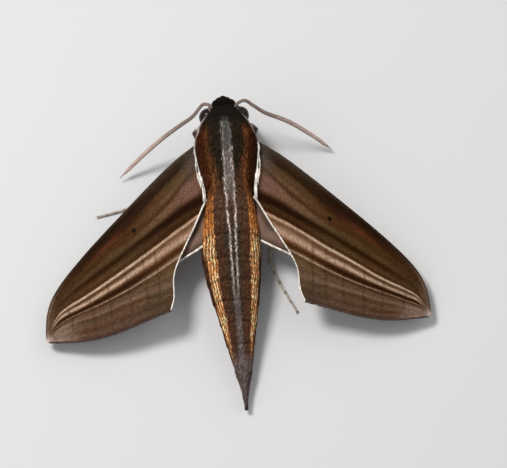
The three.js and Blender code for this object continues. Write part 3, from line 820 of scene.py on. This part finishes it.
# Tones are given as seen in full light, from 0 to 255.
forewing = {
    # stripe number, then tone, from the front edge to the hind edge: near the body, and on the outer half
    "innerFront": [
        (0.0, (75, 68, 60)), (0.3, (60, 48, 36)), (0.8, (48, 34, 18)), (1.0, (46, 31, 15)), (1.25, (82, 62, 42)),
        (1.45, (83, 62, 42)), (1.7, (99, 74, 52)), (2.02, (66, 43, 26)), (2.3, (110, 83, 63)), (2.6, (108, 80, 62)),
        (2.75, (76, 52, 34)), (2.9, (42, 22, 6)), (3.15, (38, 19, 4)), (3.45, (68, 46, 28)), (3.7, (58, 33, 15)),
        (3.87, (70, 44, 24)), (3.94, (172, 144, 122)), (4.03, (190, 160, 138)), (4.13, (140, 110, 90)), (4.3, (106, 76, 56)),
        (4.35, (106, 76, 56))],
    "innerRear": [
        (4.35, (106, 76, 56)), (4.6, (130, 100, 80)), (5.0, (174, 142, 122)), (5.25, (168, 136, 115)), (5.5, (116, 86, 64)),
        (5.75, (76, 48, 26)), (6.1, (68, 41, 20)), (6.4, (85, 60, 38)), (6.7, (130, 105, 83)), (6.88, (160, 134, 111)),
        (6.98, (160, 134, 111)), (7.06, (84, 60, 38)), (7.4, (98, 78, 56)), (7.7, (88, 70, 54)), (7.95, (104, 84, 70)),
        (8.2, (82, 62, 45)), (8.35, (88, 69, 52)), (8.55, (74, 55, 40)), (8.7, (82, 64, 50)), (9.0, (68, 56, 46))],
    "outerFront": [
        (0.0, (70, 60, 50)), (0.25, (46, 34, 24)), (0.5, (36, 21, 9)), (0.8, (46, 29, 15)), (1.1, (52, 30, 15)),
        (1.3, (60, 37, 19)), (1.5, (74, 50, 28)), (1.8, (70, 45, 24)), (2.0, (73, 50, 28)), (2.35, (82, 62, 40)),
        (2.6, (76, 57, 36)), (2.88, (48, 29, 9)), (3.05, (47, 28, 7)), (3.3, (72, 51, 30)), (3.5, (83, 61, 40)),
        (3.75, (66, 42, 23)), (3.86, (74, 49, 29)), (3.93, (178, 152, 130)), (4.05, (205, 178, 155)), (4.17, (130, 104, 84)),
        (4.3, (82, 56, 38)), (4.35, (82, 56, 38))],
    "outerRear": [
        (4.35, (82, 56, 38)), (4.6, (98, 71, 52)), (4.82, (170, 143, 121)), (5.05, (190, 162, 140)), (5.25, (148, 122, 101)),
        (5.5, (92, 68, 48)), (5.8, (54, 31, 12)), (6.2, (43, 22, 4)), (6.5, (54, 32, 15)), (6.78, (84, 62, 44)),
        (6.86, (104, 80, 62)), (6.93, (172, 146, 124)), (6.99, (150, 125, 104)), (7.05, (84, 62, 44)), (7.2, (68, 47, 29)), (7.45, (95, 73, 55)), (7.7, (96, 74, 58)),
        (7.95, (118, 95, 78)), (8.1, (78, 55, 38)), (8.35, (96, 74, 57)), (8.6, (78, 56, 43)), (8.75, (97, 73, 60)),
        (9.0, (66, 49, 40))],
    "split": 4.35, "outwards": (8, 14), "light": 1.5,
    "rootPatch": (5.2, 7.6, 2.0, 1.9), "rootColour": (118, 86, 76),
    "rootGrey": (4.4, 10.8, 1.3, 2.8), "greyColour": (86, 75, 68),
    "apex": (24.95, -10.2, 0.7), "apexColour": (228, 203, 194),
    "dot": {"right": (12.75, 2.86, 0.3), "left": (12.8, 3.12, 0.3)}, "dotColour": (18, 11, 8),
    "redPatch": (16.6, 1.8, 1.3, 0.25), "redColour": (92, 50, 32), "tip": (68, 48, 31), "tipFrom": (18.5, 23),
    "tipPale": (150, 128, 115), "tipBrown": (96, 75, 60), "tint": ((1.1, 0.95, 0.9), (0.93, 1.01, 0.98)),
    "costaLine": (0.36, 0.08), "costaColour": (122, 102, 88), "veinColour": (52, 34, 22),
    # places along the wing, at stripe 4.5, where a dark vein crosses the stripes; each leans inwards going back
    "crossings": (10.3, 11.9, 14.2, 16.7, 19.1, 21.9), "lean": 0.12,
    "below": (163, 130, 108), "belowDark": (122, 96, 78),
}


# A tone as seen, turned into the share of the light that the surface gives back.
def albedo(tone, light=forewing["light"]):
    return tuple(float(v) for v in (np.array(tone) / 255) ** 2.2 / light)


def stripeRamp(tree, place, key):
    ramp = addNode(tree, "ShaderNodeValToRGB", i0=place)
    steps = ramp.color_ramp.elements
    while len(steps) > 1:
        steps.remove(steps[-1])
    for k, (number, colour) in enumerate(forewing[key]):
        step = steps[0] if k == 0 else steps.new(number / 9)
        step.position = number / 9
        step.color = (*albedo(colour), 1)
    return ramp.outputs[0]


# Wing finish: the ramps turn the stripe number into colour, ragged by noise that is stretched along the stripes.
def forewingMaterial():
    material, tree, shader = newMaterial("forewing_scales", Roughness=0.65, Specular_IOR_Level=0.03)
    maps = attributeOf(tree, "stripeMap")
    spots = attributeOf(tree, "spots")
    rows = addNode(tree, "ShaderNodeUVMap", {"uv_map": "scaleRows"})
    parts = addNode(tree, "ShaderNodeSeparateColor", i0=maps.outputs["Color"])
    stripe, along, vein = parts.outputs[0], parts.outputs[1], parts.outputs[2]
    drift = addNode(tree, "ShaderNodeCombineXYZ", i0=mathNode(tree, "MULTIPLY", stripe, 90.0),
                    i1=mathNode(tree, "MULTIPLY", along, 9.0), i2=0.0)
    streak = addNode(tree, "ShaderNodeTexNoise", Vector=drift.outputs[0], Scale=1.0, Detail=4.0, Roughness=0.6)
    ragged = addNode(tree, "ShaderNodeTexNoise", Vector=rows.outputs[0], Scale=260.0, Detail=2.0)
    tickPlace = addNode(tree, "ShaderNodeCombineXYZ", i0=mathNode(tree, "MULTIPLY", stripe, 27.0),
                        i1=mathNode(tree, "MULTIPLY", along, 125.0), i2=0.0)
    ticks = addNode(tree, "ShaderNodeTexNoise", Vector=tickPlace.outputs[0], Scale=1.0, Detail=3.0, Roughness=0.6)
    tipMarks = attributeOf(tree, "tipMarks")
    tips = addNode(tree, "ShaderNodeSeparateColor", i0=tipMarks.outputs["Color"])
    place = stripe
    for noise, reach in ((ragged, 0.009), (streak, 0.012), (ticks, mathNode(tree, "MULTIPLY", tips.outputs[2], 0.045))):
        shift = mathNode(tree, "MULTIPLY", mathNode(tree, "SUBTRACT", noise.outputs[0], 0.5), reach)
        place = mathNode(tree, "ADD", place, shift)
    shades = attributeOf(tree, "shades")
    shade = addNode(tree, "ShaderNodeSeparateColor", i0=shades.outputs["Color"])
    rear = mathNode(tree, "GREATER_THAN", place, forewing["split"] / 9)
    inner = mixColour(tree, rear, stripeRamp(tree, place, "innerFront"), stripeRamp(tree, place, "innerRear"))
    outer = mixColour(tree, rear, stripeRamp(tree, place, "outerFront"), stripeRamp(tree, place, "outerRear"))
    tone = mixColour(tree, shade.outputs[0], inner, outer)
    tone = mixColour(tree, shades.outputs["Alpha"], tone, albedo(forewing["tip"]))
    tone = mixColour(tree, tips.outputs[0], tone, albedo(forewing["tipPale"]))
    tone = mixColour(tree, tips.outputs[1], tone, albedo(forewing["tipBrown"]))
    clouds = addNode(tree, "ShaderNodeTexNoise", Vector=drift.outputs[0], Scale=0.35, Detail=2.0)
    tint = mixColour(tree, mathNode(tree, "MULTIPLY", mathNode(tree, "SUBTRACT", clouds.outputs[0], 0.3), 2.5), *forewing["tint"])
    tone = mixColour(tree, 1.0, tone, tint, "MULTIPLY")
    lit = mathNode(tree, "ADD", 0.3, mathNode(tree, "MULTIPLY", streak.outputs[0], 0.7))
    lit = mathNode(tree, "ADD", lit, mathNode(tree, "MULTIPLY", ticks.outputs[0], 0.7))
    grey = addNode(tree, "ShaderNodeCombineColor", i0=lit, i1=lit, i2=lit).outputs[0]
    tone = mixColour(tree, 1.0, tone, grey, "MULTIPLY")
    tone = mixColour(tree, shade.outputs[1], tone, albedo(forewing["redColour"]))
    tone = mixColour(tree, shade.outputs[2], tone, albedo(forewing["costaColour"]))
    spot = addNode(tree, "ShaderNodeSeparateColor", i0=spots.outputs["Color"])
    tone = mixColour(tree, spot.outputs[0], tone, albedo(forewing["rootColour"]))
    tone = mixColour(tree, spots.outputs["Alpha"], tone, albedo(forewing["greyColour"]))
    tone = mixColour(tree, spot.outputs[1], tone, albedo(forewing["apexColour"]))
    tone = mixColour(tree, mathNode(tree, "MULTIPLY", vein, 0.4), tone, albedo(forewing["veinColour"]))
    tone = mixColour(tree, spot.outputs[2], tone, albedo(forewing["dotColour"]))
    shingle = placeGroup(tree, shingleGroup, Vector=rows.outputs[0], Rows=330.0, Stretch=2.0)
    cell = mathNode(tree, "ADD", 0.75, mathNode(tree, "MULTIPLY", shingle.outputs["Cell"], 0.5))
    flake = addNode(tree, "ShaderNodeCombineColor", i0=cell, i1=cell, i2=cell).outputs[0]
    tone = mixColour(tree, 1.0, tone, flake, "MULTIPLY")
    belowTone = mixColour(tree, streak.outputs[0], albedo(forewing["below"]), albedo(forewing["belowDark"]))
    tone = mixColour(tree, maps.outputs["Alpha"], tone, belowTone)
    where = addNode(tree, "ShaderNodeTexCoord")
    dust = placeGroup(tree, dustGroup, Color=tone, Vector=where.outputs["Object"], Cloud=0.2, Grain=0.5)
    tree.links.new(dust.outputs["Color"], shader.inputs["Base Color"])
    bump = addNode(tree, "ShaderNodeBump", Strength=1.0, Distance=0.00004, Height=shingle.outputs["Height"])
    tree.links.new(bump.outputs[0], shader.inputs["Normal"])
    return material


hindwing = {"ground": (0.105, 0.06, 0.038), "band": (0.22, 0.135, 0.105), "dark": (0.03, 0.018, 0.014),
            "below": (0.28, 0.18, 0.13)}


def hindwingMaterial():
    material, tree, shader = newMaterial("hindwing_scales", Roughness=0.65, Specular_IOR_Level=0.03)
    maps = attributeOf(tree, "stripeMap")
    rows = addNode(tree, "ShaderNodeUVMap", {"uv_map": "scaleRows"})
    parts = addNode(tree, "ShaderNodeSeparateColor", i0=maps.outputs["Color"])
    tone = mixColour(tree, parts.outputs[0], hindwing["dark"], hindwing["ground"])
    tone = mixColour(tree, mathNode(tree, "MULTIPLY", parts.outputs[1], 0.7), tone, hindwing["band"])
    tone = mixColour(tree, mathNode(tree, "MULTIPLY", parts.outputs[2], 0.3), tone, hindwing["dark"])
    tone = mixColour(tree, maps.outputs["Alpha"], tone, hindwing["below"])
    shingle = placeGroup(tree, shingleGroup, Vector=rows.outputs[0], Rows=330.0, Stretch=2.0)
    where = addNode(tree, "ShaderNodeTexCoord")
    dust = placeGroup(tree, dustGroup, Color=tone, Vector=where.outputs["Object"], Cloud=0.25, Grain=0.2)
    tree.links.new(dust.outputs["Color"], shader.inputs["Base Color"])
    bump = addNode(tree, "ShaderNodeBump", Strength=0.5, Distance=0.00003, Height=shingle.outputs["Height"])
    tree.links.new(bump.outputs[0], shader.inputs["Normal"])
    return material


def addWing(name, grid, marks, material, slot, side):
    points, s, t, chord = grid[:4]
    flip = np.array([side, 1, 1])
    flat, faces = closedGrid(points * flip)
    mesh = makeMesh(name, flat, faces, {key: withCaps(values) for key, values in marks.items()})
    rows = withCaps(np.stack([t * chord / 40, s * 33 / 40], -1))
    order = np.empty(len(mesh.loops), np.int32)
    mesh.loops.foreach_get("vertex_index", order)
    layer = mesh.uv_layers.new(name="scaleRows")
    layer.data.foreach_set("uv", rows[order].astype(np.float32).ravel())
    return addPiece(name, mesh, material, slot, name.replace("_skin", ""))


def addForewings():
    material = forewingMaterial()
    grid = wingGrid(foreEdges, 0, foreVeins, 300, 96, 0.2)
    points, s, t, chord, vein, lower = grid
    x, y = points[..., 0], points[..., 1]

    def blob(place, share=1.0):
        px, py, rx, ry = place if len(place) == 4 else (*place, place[2])
        return share * bell(np.hypot((x - px) / rx, (y - py) / ry), 0, 1)

    for side, word in ((1, "right"), (-1, "left")):
        number = stripeNumber(x, y, word)
        dx, dy, dr = forewing["dot"][word]
        spots = np.stack([blob(forewing["rootPatch"], 0.85) * ease(2.85, 2.7, number) * ease(1.95, 2.15, number),
                          blob(forewing["apex"], 1.0), ease(1.15, 0.75, np.hypot(x - dx, y - dy) / dr),
                          blob(forewing["rootGrey"], 0.8) * ease(2.3, 1.9, number)], -1)
        crossings = np.zeros_like(x)
        for place in forewing["crossings"]:
            lean = place - forewing["lean"] * (number - 4.5)
            crossings = np.maximum(crossings, bell(x - lean, 0, 0.16))
        crossings = crossings * ease(3.9, 4.2, number) * ease(8.8, 8.2, number)
        inward, lineWidth = forewing["costaLine"]
        low, high = forewing["tipFrom"]
        shades = np.stack([ease(*forewing["outwards"], x), 
                           0.8 * bell(x, forewing["redPatch"][0], 1.9) * bell(number, forewing["redPatch"][2], forewing["redPatch"][3]),
                           0.8 * bell(t * chord, inward, lineWidth) * ease(0.6, 0.85, s),
                           0.65 * ease(low, high, x) * ease(3.8, 3.4, number)], -1)
        outer = ease(19.5, 24, x)
        pale = outer * (0.6 * ease(7.5, 7.9, number) + 0.3 * ease(4.1, 4.8, number) * ease(5.6, 5.3, number)
                        + 0.35 * bell(number, 8.86, 0.1))
        brown = np.maximum(0.9 * ease(23.2, 24.6, x), 0.75 * ease(16, 20, x) * bell(number, 6.92, 0.16))
        ragged = ease(4.7, 5.1, number) * ease(6.9, 6.6, number) + 0.25 * ease(4.0, 3.8, number)
        tipMarks = np.stack([pale, brown, ragged, 0 * x], -1)
        marks = {"stripeMap": np.stack([number / 9, x / 25.1, crossings, lower], -1), "spots": spots, "shades": shades,
                 "tipMarks": tipMarks}
        addWing(f"forewing_{word}_skin", grid, marks, material, "forewing_scales", side)


def addHindwings():
    material = hindwingMaterial()
    grid = wingGrid(hindEdges, wings["hindDrop"], hindVeins, 160, 56, 0.18)
    points, s, t, chord, vein, lower = grid
    far = (1 - t) * chord
    marks = {"stripeMap": np.stack([ease(0.5, 0.0, s) * 0.8 + 0.2, bell(far, 1.2, 0.7), vein, lower], -1)}
    for side, word in ((1, "right"), (-1, "left")):
        addWing(f"hindwing_{word}_skin", grid, marks, material, "hindwing_scales", side)


addForewings()
addHindwings()
print("wings made")

# Fringes: rows of hair scales that stand out from the wing's edges, in the wing's plane.
fringes = {
    "white": (0.86, 0.79, 0.71), "brown": (0.075, 0.048, 0.036), "pink": (0.4, 0.28, 0.24),
    "perMm": 60, "width": 0.065, "below": 0.14,
}


# Roots follow an edge curve between two shares of it, just inside the edge; each hair points away from the wing's middle.
def edgeHairs(edges, drop, key, low, high, lengths, colour, slant=0.5):
    fine = splineAt(edges[key], np.linspace(low, high, 400))
    size = np.sum(np.linalg.norm(np.diff(fine, axis=0), axis=1))
    n = int(size * fringes["perMm"])
    share = chance.uniform(low, high, n)
    at = splineAt(edges[key], share)
    way = unit(splineAt(edges[key], share + 0.004) - splineAt(edges[key], share - 0.004))
    out = np.stack([way[:, 1], -way[:, 0]], -1)
    if key == "costa":
        out = -out
    x, y = at[:, 0], at[:, 1]
    z = wingTop(x, y) - drop - fringes["below"]
    flow = unit(out + way * slant + chance.normal(0, 0.12, (n, 2)))
    slopeZ = -wings["fallOutward"] * flow[:, 0] + wings["fallRearward"] * flow[:, 1]
    lie = unit(np.column_stack([flow, slopeZ]))
    root = np.column_stack([x, y, z]) - lie * 0.13
    normal = unit(np.column_stack([np.full(n, 0.19), np.full(n, -0.07), np.ones(n)]) + chance.normal(0, 0.12, (n, 3)))
    tone = np.array(fringes[colour]) * chance.uniform(0.7, 1.15, (n, 1))
    length = np.interp(share, [low, high], lengths) * chance.uniform(0.8, 1.15, n)
    return root, normal, lie, length, tone


def addFringes(name, rows, slot):
    for side, word in ((1, "right"), (-1, "left")):
        flip = np.array([side, 1, 1])
        parts, tones, places = [], [], []
        for root, normal, lie, length, tone in rows:
            parts.append(blades(root * flip, normal * flip, lie * flip, length,
                                fringes["width"] * chance.uniform(0.7, 1.3, len(root)), 0.0, sink=0.0))
            tones.append(tone)
            places.append(np.clip(0.5 + root[:, :2] * [0.018, 0.018], 0.01, 0.99))
        points, faces = joined(parts)
        addCoat(f"{name}_{word}", (points, faces, np.clip(np.concatenate(tones), 0, 1), np.concatenate(places)), slot)


addFringes("forewing_fringe", [
    edgeHairs(foreEdges, 0, "inner", 0.1, 0.5, (0.32, 0.23), "white"),
    edgeHairs(foreEdges, 0, "inner", 0.5, 1.0, (0.22, 0.17), "white"),
    edgeHairs(foreEdges, 0, "outer", 0.0, 1.0, (0.32, 0.3), "brown"),
], "forewing_scales")
addFringes("hindwing_fringe", [
    edgeHairs(hindEdges, wings["hindDrop"], "outer", 0.0, 0.36, (0.36, 0.34), "white"),
    edgeHairs(hindEdges, wings["hindDrop"], "outer", 0.36, 1.0, (0.34, 0.3), "pink"),
    edgeHairs(hindEdges, wings["hindDrop"], "inner", 0.2, 1.0, (0.4, 0.4), "brown"),
], "hindwing_scales")
print("fringes made")

# ---------- eyes ----------
eyes = {"colour": (0.006, 0.004, 0.004), "glow": (0.02, 0.009, 0.008), "facets": 9500.0}


def eyeMaterial():
    material, tree, shader = newMaterial("eye_gloss", Roughness=0.25, IOR=1.38, Specular_IOR_Level=0.28)
    place = addNode(tree, "ShaderNodeTexCoord")
    cells = addNode(tree, "ShaderNodeTexVoronoi", {"feature": "F1"}, Vector=place.outputs["Object"], Scale=eyes["facets"],
                    Randomness=0.35)
    cloud = addNode(tree, "ShaderNodeTexNoise", Vector=place.outputs["Object"], Scale=900.0)
    tree.links.new(mixColour(tree, cloud.outputs[0], eyes["colour"], eyes["glow"]), shader.inputs["Base Color"])
    dome = mathNode(tree, "SUBTRACT", 1.0, cells.outputs["Distance"])
    bump = addNode(tree, "ShaderNodeBump", Strength=0.3, Distance=0.00002, Height=dome)
    tree.links.new(bump.outputs[0], shader.inputs["Normal"])
    return material


eyeFinish = eyeMaterial()
for side, word in ((1, "right"), (-1, "left")):
    points, faces = closedGrid(ellipsoidGrid(np.array(body["eyeCentre"]) * [side, 1, 1], body["eyeRadii"], 72, 48))
    addPiece(f"eye_{word}_dome", makeMesh(f"eye_{word}_dome", points, faces), eyeFinish, "eye", f"eye_{word}")

# ---------- legs ----------
legs = {
    "pale": (0.36, 0.3, 0.25), "brown": (0.2, 0.15, 0.12), "fore": (0.1, 0.07, 0.062), "tarsusRings": 5, "claw": (0.05, 0.03, 0.02),
    "routes": {
        "foreleg_right": {"hip": [(1.5, 14.2, 3.6), (2.3, 14.6, 2.3)], "knee": (4.1, 17.1, 4.2),
                          "ankle": (3.7, 19.0, 1.4), "toes": [(3.3, 19.6, 0.2), (2.4, 20.1, 0.2), (1.5, 20.3, 0.2)]},
        "foreleg_left": {"hip": [(-1.5, 14.2, 3.6), (-2.3, 14.6, 2.3)], "knee": (-4.0, 17.0, 4.2),
                         "ankle": (-3.8, 18.7, 1.4), "toes": [(-3.4, 19.3, 0.2), (-2.6, 19.9, 0.2), (-1.7, 20.2, 0.2)]},
        "midleg_right": {"hip": [(1.8, 11.5, 3.4), (2.9, 11.6, 2.2)], "knee": (6.6, 10.4, 4.3),
                         "ankle": (9.8, 7.6, 1.2), "toes": [(11.1, 6.2, 0.2), (12.2, 4.6, 0.2), (13.2, 3.0, 0.2)]},
        "midleg_left": {"hip": [(-1.8, 11.5, 3.4), (-2.9, 11.6, 2.2)], "knee": (-7.6, 10.5, 4.4),
                        "ankle": (-12.0, 9.0, 1.2), "toes": [(-13.6, 8.5, 0.2), (-15.6, 8.0, 0.2), (-17.6, 7.6, 0.2)]},
        "hindleg_right": {"hip": [(1.7, 8.9, 3.2), (2.4, 8.2, 2.0)], "knee": (5.6, 5.6, 3.8),
                          "ankle": (4.7, -0.7, 0.9), "toes": [(5.3, -2.3, 0.2), (6.4, -4.9, 0.2), (7.75, -7.7, 0.2)]},
        "hindleg_left": {"hip": [(-1.7, 8.9, 3.2), (-2.4, 8.2, 2.0)], "knee": (-6.3, 6.2, 3.8),
                         "ankle": (-8.6, 0.6, 0.9), "toes": [(-9.5, -1.2, 0.2), (-10.8, -3.4, 0.2), (-12.2, -5.5, 0.2)]},
    },
}


def limbMaterial():
    material, tree, shader = newMaterial("limb_scales", Roughness=0.55, Specular_IOR_Level=0.25)
    marks = attributeOf(tree, "markings")
    place = addNode(tree, "ShaderNodeTexCoord")
    dust = placeGroup(tree, dustGroup, Color=marks.outputs["Color"], Vector=place.outputs["Object"], Cloud=0.3, Grain=0.25)
    tree.links.new(dust.outputs["Color"], shader.inputs["Base Color"])
    cells = addNode(tree, "ShaderNodeTexVoronoi", {"feature": "F1"}, Vector=place.outputs["Object"], Scale=6500.0)
    height = mathNode(tree, "SUBTRACT", 1.0, cells.outputs["Distance"])
    bump = addNode(tree, "ShaderNodeBump", Strength=0.4, Distance=0.00003, Height=height)
    tree.links.new(bump.outputs[0], shader.inputs["Normal"])
    return material


limbFinish = limbMaterial()


# Hairs along a limb: roots at random round its path, lying towards its end.
def limbHairs(path, radius, count, length, width, lift, tone):
    ahead, up, right = sideways(path)
    i = chance.integers(1, len(path) - 1, count)
    a = chance.uniform(0, 2 * pi, count)
    normal = up[i] * np.cos(a)[:, None] + right[i] * np.sin(a)[:, None]
    root = path[i] + ahead[i] * (chance.uniform(-0.5, 0.5, count) * 0.15)[:, None] + normal * (radius[i] * 0.93)[:, None]
    shade = chance.uniform(0.75, 1.2, (count, 1))
    tones = np.array(tone)[i] * shade if np.ndim(tone) == 2 else np.array(tone) * shade
    low = root[:, 2] > 0.06
    place = np.stack([0.05 + 0.9 * i / len(path), 0.05 + 0.9 * a / (2 * pi)], -1)
    parts = blades(root[low], normal[low], ahead[i][low], length * chance.uniform(0.7, 1.2, low.sum()), width, lift)
    return (*parts, np.clip(tones, 0, 1)[low], place[low])


# A leg: thigh, shin and foot are tubes whose radius swells at the joints; the foot has five ringed lengths and two claws.
def addLeg(name, route):
    thigh, _ = evenWalk([*route["hip"], tuple((np.array(route["hip"][1]) + route["knee"]) / 2), route["knee"]], 40)
    shin, shinSize = evenWalk([route["knee"], tuple((np.array(route["knee"]) + route["ankle"]) / 2), route["ankle"]], 30)
    foot, footSize = evenWalk([route["ankle"], *route["toes"]], 80)
    t = np.linspace(0, 1, 40)
    thighRadius = 0.5 - 0.2 * t**1.5 + 0.06 * np.sin(pi * t)
    t = np.linspace(0, 1, 30)
    shinRadius = 0.29 - 0.06 * t + 0.05 * np.sin(pi * t)
    t = np.linspace(0, 1, 80)
    ring = (t * legs["tarsusRings"] * 0.999) % 1
    footRadius = (0.21 - 0.07 * t) * (0.86 + 0.2 * ring**2)
    foot[:, 2] = np.maximum(foot[:, 2], footRadius)
    solids, tones = [], []
    thighTone = "fore" if "fore" in name else "brown"
    nearKnee = ease(0.45, 0.1, np.linspace(0, 1, 30))[:, None]
    shinTones = np.array(legs["pale"]) * (1 - nearKnee) + np.array(legs[thighTone]) * nearKnee
    for path, radius, colour in ((thigh, thighRadius, thighTone), (shin, shinRadius, "pale"), (foot, footRadius, "pale")):
        grid = tubeGrid(path, radius, 14)
        grid[..., 2] = np.maximum(grid[..., 2], 0.0)
        points, faces = closedGrid(grid)
        solids.append((points, faces))
        tone = np.repeat(np.array([legs[colour]]), len(points), 0)
        if path is shin:
            tone[:30 * 14] = np.repeat(shinTones, 14, 0)
        if path is foot:
            dark = np.repeat(bell(ring, 0.0, 0.12) + bell(ring, 1.0, 0.12), 14)
            tone[:len(dark)] = tone[:len(dark)] * (1 - 0.6 * np.clip(dark, 0, 1))[:, None]
        tones.append(tone)
    for joint, size, colour in ((route["knee"], 0.31, thighTone), (route["ankle"], 0.24, "pale")):
        points, faces = closedGrid(ellipsoidGrid(joint, (size, size, size), 20, 14))
        solids.append((points, faces))
        tones.append(np.repeat(np.array([legs[colour]]) * 0.8, len(points), 0))
    way = unit(foot[-1] - foot[-6])
    across = np.array([-way[1], way[0], 0])
    for sign in (-1, 1):
        claw = splineAt([foot[-3], foot[-1] + across * 0.1 * sign + [0, 0, 0.04], foot[-1] + way * 0.22 + across * 0.2 * sign,
                         foot[-1] + way * 0.34 + across * 0.17 * sign + [0, 0, -0.1]], np.linspace(0, 1, 14))
        claw[:, 2] = np.maximum(claw[:, 2], 0.04)
        points, faces = closedGrid(tubeGrid(claw, 0.05 * (1 - np.linspace(0, 0.92, 14)), 8))
        solids.append((points, faces))
        tones.append(np.repeat(np.array([legs["claw"]]), len(points), 0))
    if "fore" not in name:                    # spurs at the end of the shin, and halfway up it on the hind legs
        ends = [1.0, 0.55] if "hind" in name else [1.0]
        for share in ends:
            start = splineAt([route["knee"], route["ankle"]], np.array([share * 0.98]))[0]
            down = unit(np.array(route["ankle"], float) - route["knee"])
            beside = unit(np.cross(down, [0, 0, 1]))
            for sign, size in ((-1, 1.05), (1, 0.7)):
                tip = start + down * size * 0.8 + beside * sign * 0.42 * size
                tip[2] = max(tip[2], 0.08)
                spur = start + (tip - start) * np.linspace(0, 1, 10)[:, None]
                points, faces = closedGrid(tubeGrid(spur, 0.09 * (1 - np.linspace(0, 0.9, 10)), 8))
                solids.append((points, faces))
                tones.append(np.repeat(np.array([legs["pale"]]) * 0.7, len(points), 0))
    points, faces = joined([(p, outward(p, f)) for p, f in solids])
    points[:, 2] = np.maximum(points[:, 2], 0.0)
    mesh = makeMesh(f"{name}_joints", points, faces, {"markings": np.concatenate(tones)})
    addPiece(f"{name}_joints", mesh, limbFinish, "limb_scales", name)
    hairs = [limbHairs(thigh, thighRadius, 650, 0.42 if "fore" in name else 0.6, 0.07, 0.06, legs[thighTone]),
             limbHairs(shin, shinRadius, 420, 0.4, 0.08, 0.06, shinTones),
             limbHairs(foot, footRadius, 420, 0.24, 0.06, 0.04, np.repeat([legs["pale"]], 80, 0))]
    points, faces = joined([h[:2] for h in hairs])
    points[:, 2] = np.maximum(points[:, 2], 0.01)
    return points, faces, np.concatenate([h[2] for h in hairs]), np.concatenate([h[3] for h in hairs])


for name, route in legs["routes"].items():
    addCoat(f"{name}_hairs", addLeg(name, route), "limb_scales")
print("legs made")

# ---------- antennae ----------
antennae = {
    "right": [(1.3, 18.4, 7.9), (1.45, 18.55, 8.2), (1.95, 19.0, 8.6), (2.9, 19.35, 8.45), (3.9, 18.85, 7.9), (5.5, 18.05, 7.0),
              (8.5, 17.3, 5.4), (11.5, 16.2, 3.1), (13.6, 15.2, 1.3), (14.1, 14.9, 0.9)],
    "left": [(-1.3, 18.4, 7.9), (-1.45, 18.55, 8.2), (-1.95, 19.0, 8.6), (-2.8, 19.1, 8.4), (-4.2, 17.95, 7.5), (-6, 17.15, 6.6),
             (-8.4, 16.15, 5.1), (-11, 14.85, 3.2), (-13.8, 13.15, 1.2), (-14.3, 12.75, 0.9)],
    "rings": 62, "pale": (0.19, 0.143, 0.125), "brown": (0.09, 0.06, 0.048), "tipGain": 1.5,
}


# A feeler: a tube of ringed lengths that thickens to two thirds of the way, then narrows to a hooked point.
def addAntenna(word):
    path, size = evenWalk(antennae[word], 380)
    t = np.linspace(0, 1, len(path))
    radius = (0.2 + 0.1 * np.sin(pi * t**1.3)) * (1 - 0.85 * ease(0.9, 1.0, t))
    ring = (t * antennae["rings"]) % 1
    radius = radius * (0.93 + 0.09 * np.sin(pi * ring))
    grid = tubeGrid(path, radius, 14, flatten=0.9)
    lift = (grid[..., 2] - path[:, None, 2]) / radius[:, None]
    share = ease(-0.3, 0.4, lift)
    tone = np.array(antennae["brown"]) * (1 - share[..., None]) + np.array(antennae["pale"]) * share[..., None]
    brighter = 1 + antennae["tipGain"] * ease(0.25, 0.8, t)
    tone = tone * (brighter * (1 - 0.25 * bell(ring, 0.0, 0.15)))[:, None, None]
    points, faces = closedGrid(grid)
    mesh = makeMesh(f"antenna_{word}_rings", points, faces, {"markings": withCaps(tone)})
    addPiece(f"antenna_{word}_rings", mesh, limbFinish, "limb_scales", f"antenna_{word}")
    smooth = (0.2 + 0.1 * np.sin(pi * t**1.3)) * (1 - 0.8 * ease(0.9, 1.0, t))
    return limbHairs(path, smooth, 1900, 0.24, 0.06, 0.03, np.array(antennae["pale"]) * brighter[:, None])


for word in ("right", "left"):
    addCoat(f"antenna_{word}_hairs", addAntenna(word), "limb_scales")

# ---------- tongue ----------
tongue = {"centre": (0, 19.3, 4.1), "radius": 0.68, "turns": 2.4, "thick": 0.13, "colour": (0.16, 0.07, 0.025)}


# The coiled tongue: a tube along a flat spiral whose radius shrinks evenly with the angle.
def addTongue():
    t = np.linspace(0, 1, 150)
    a = 0.9 * pi - t * tongue["turns"] * 2 * pi
    r = tongue["radius"] * (1 - 0.78 * t)
    cx, cy, cz = tongue["centre"]
    path = np.stack([0 * t + cx, cy + r * np.cos(a), cz + r * np.sin(a)], -1)
    lead = np.array([[0, 18.9, 5.3], [0, 18.75, 4.95]])
    path = np.concatenate([lead + [cx, 0, 0], path])
    radius = tongue["thick"] * np.linspace(1, 0.5, len(path)) * (1 + 0.06 * np.sin(np.arange(len(path)) * 1.3))
    points, faces = closedGrid(tubeGrid(path, radius, 12, start=(1, 0, 0)))
    tone = np.repeat(np.array([tongue["colour"]]), len(points), 0)
    mesh = makeMesh("proboscis_coil", points, faces, {"markings": tone})
    addPiece("proboscis_coil", mesh, limbFinish, "tongue", "proboscis")


addTongue()

# ---------- floor ----------
def addFloor():
    half = studio["floorSize"] / 2
    mesh = bpy.data.meshes.new("floor")
    mesh.from_pydata([(-half, -half, 0), (half, -half, 0), (half, half, 0), (-half, half, 0)], [], [(0, 1, 2, 3)])
    floor = bpy.data.objects.new("floor", mesh)
    scene.collection.objects.link(floor)
    material, tree, shader = newMaterial("floor_paint", Roughness=0.75)
    shader.inputs["Base Color"].default_value = (*studio["floorColour"], 1)
    mesh.materials.append(material)


addFloor()
print("all pieces made")
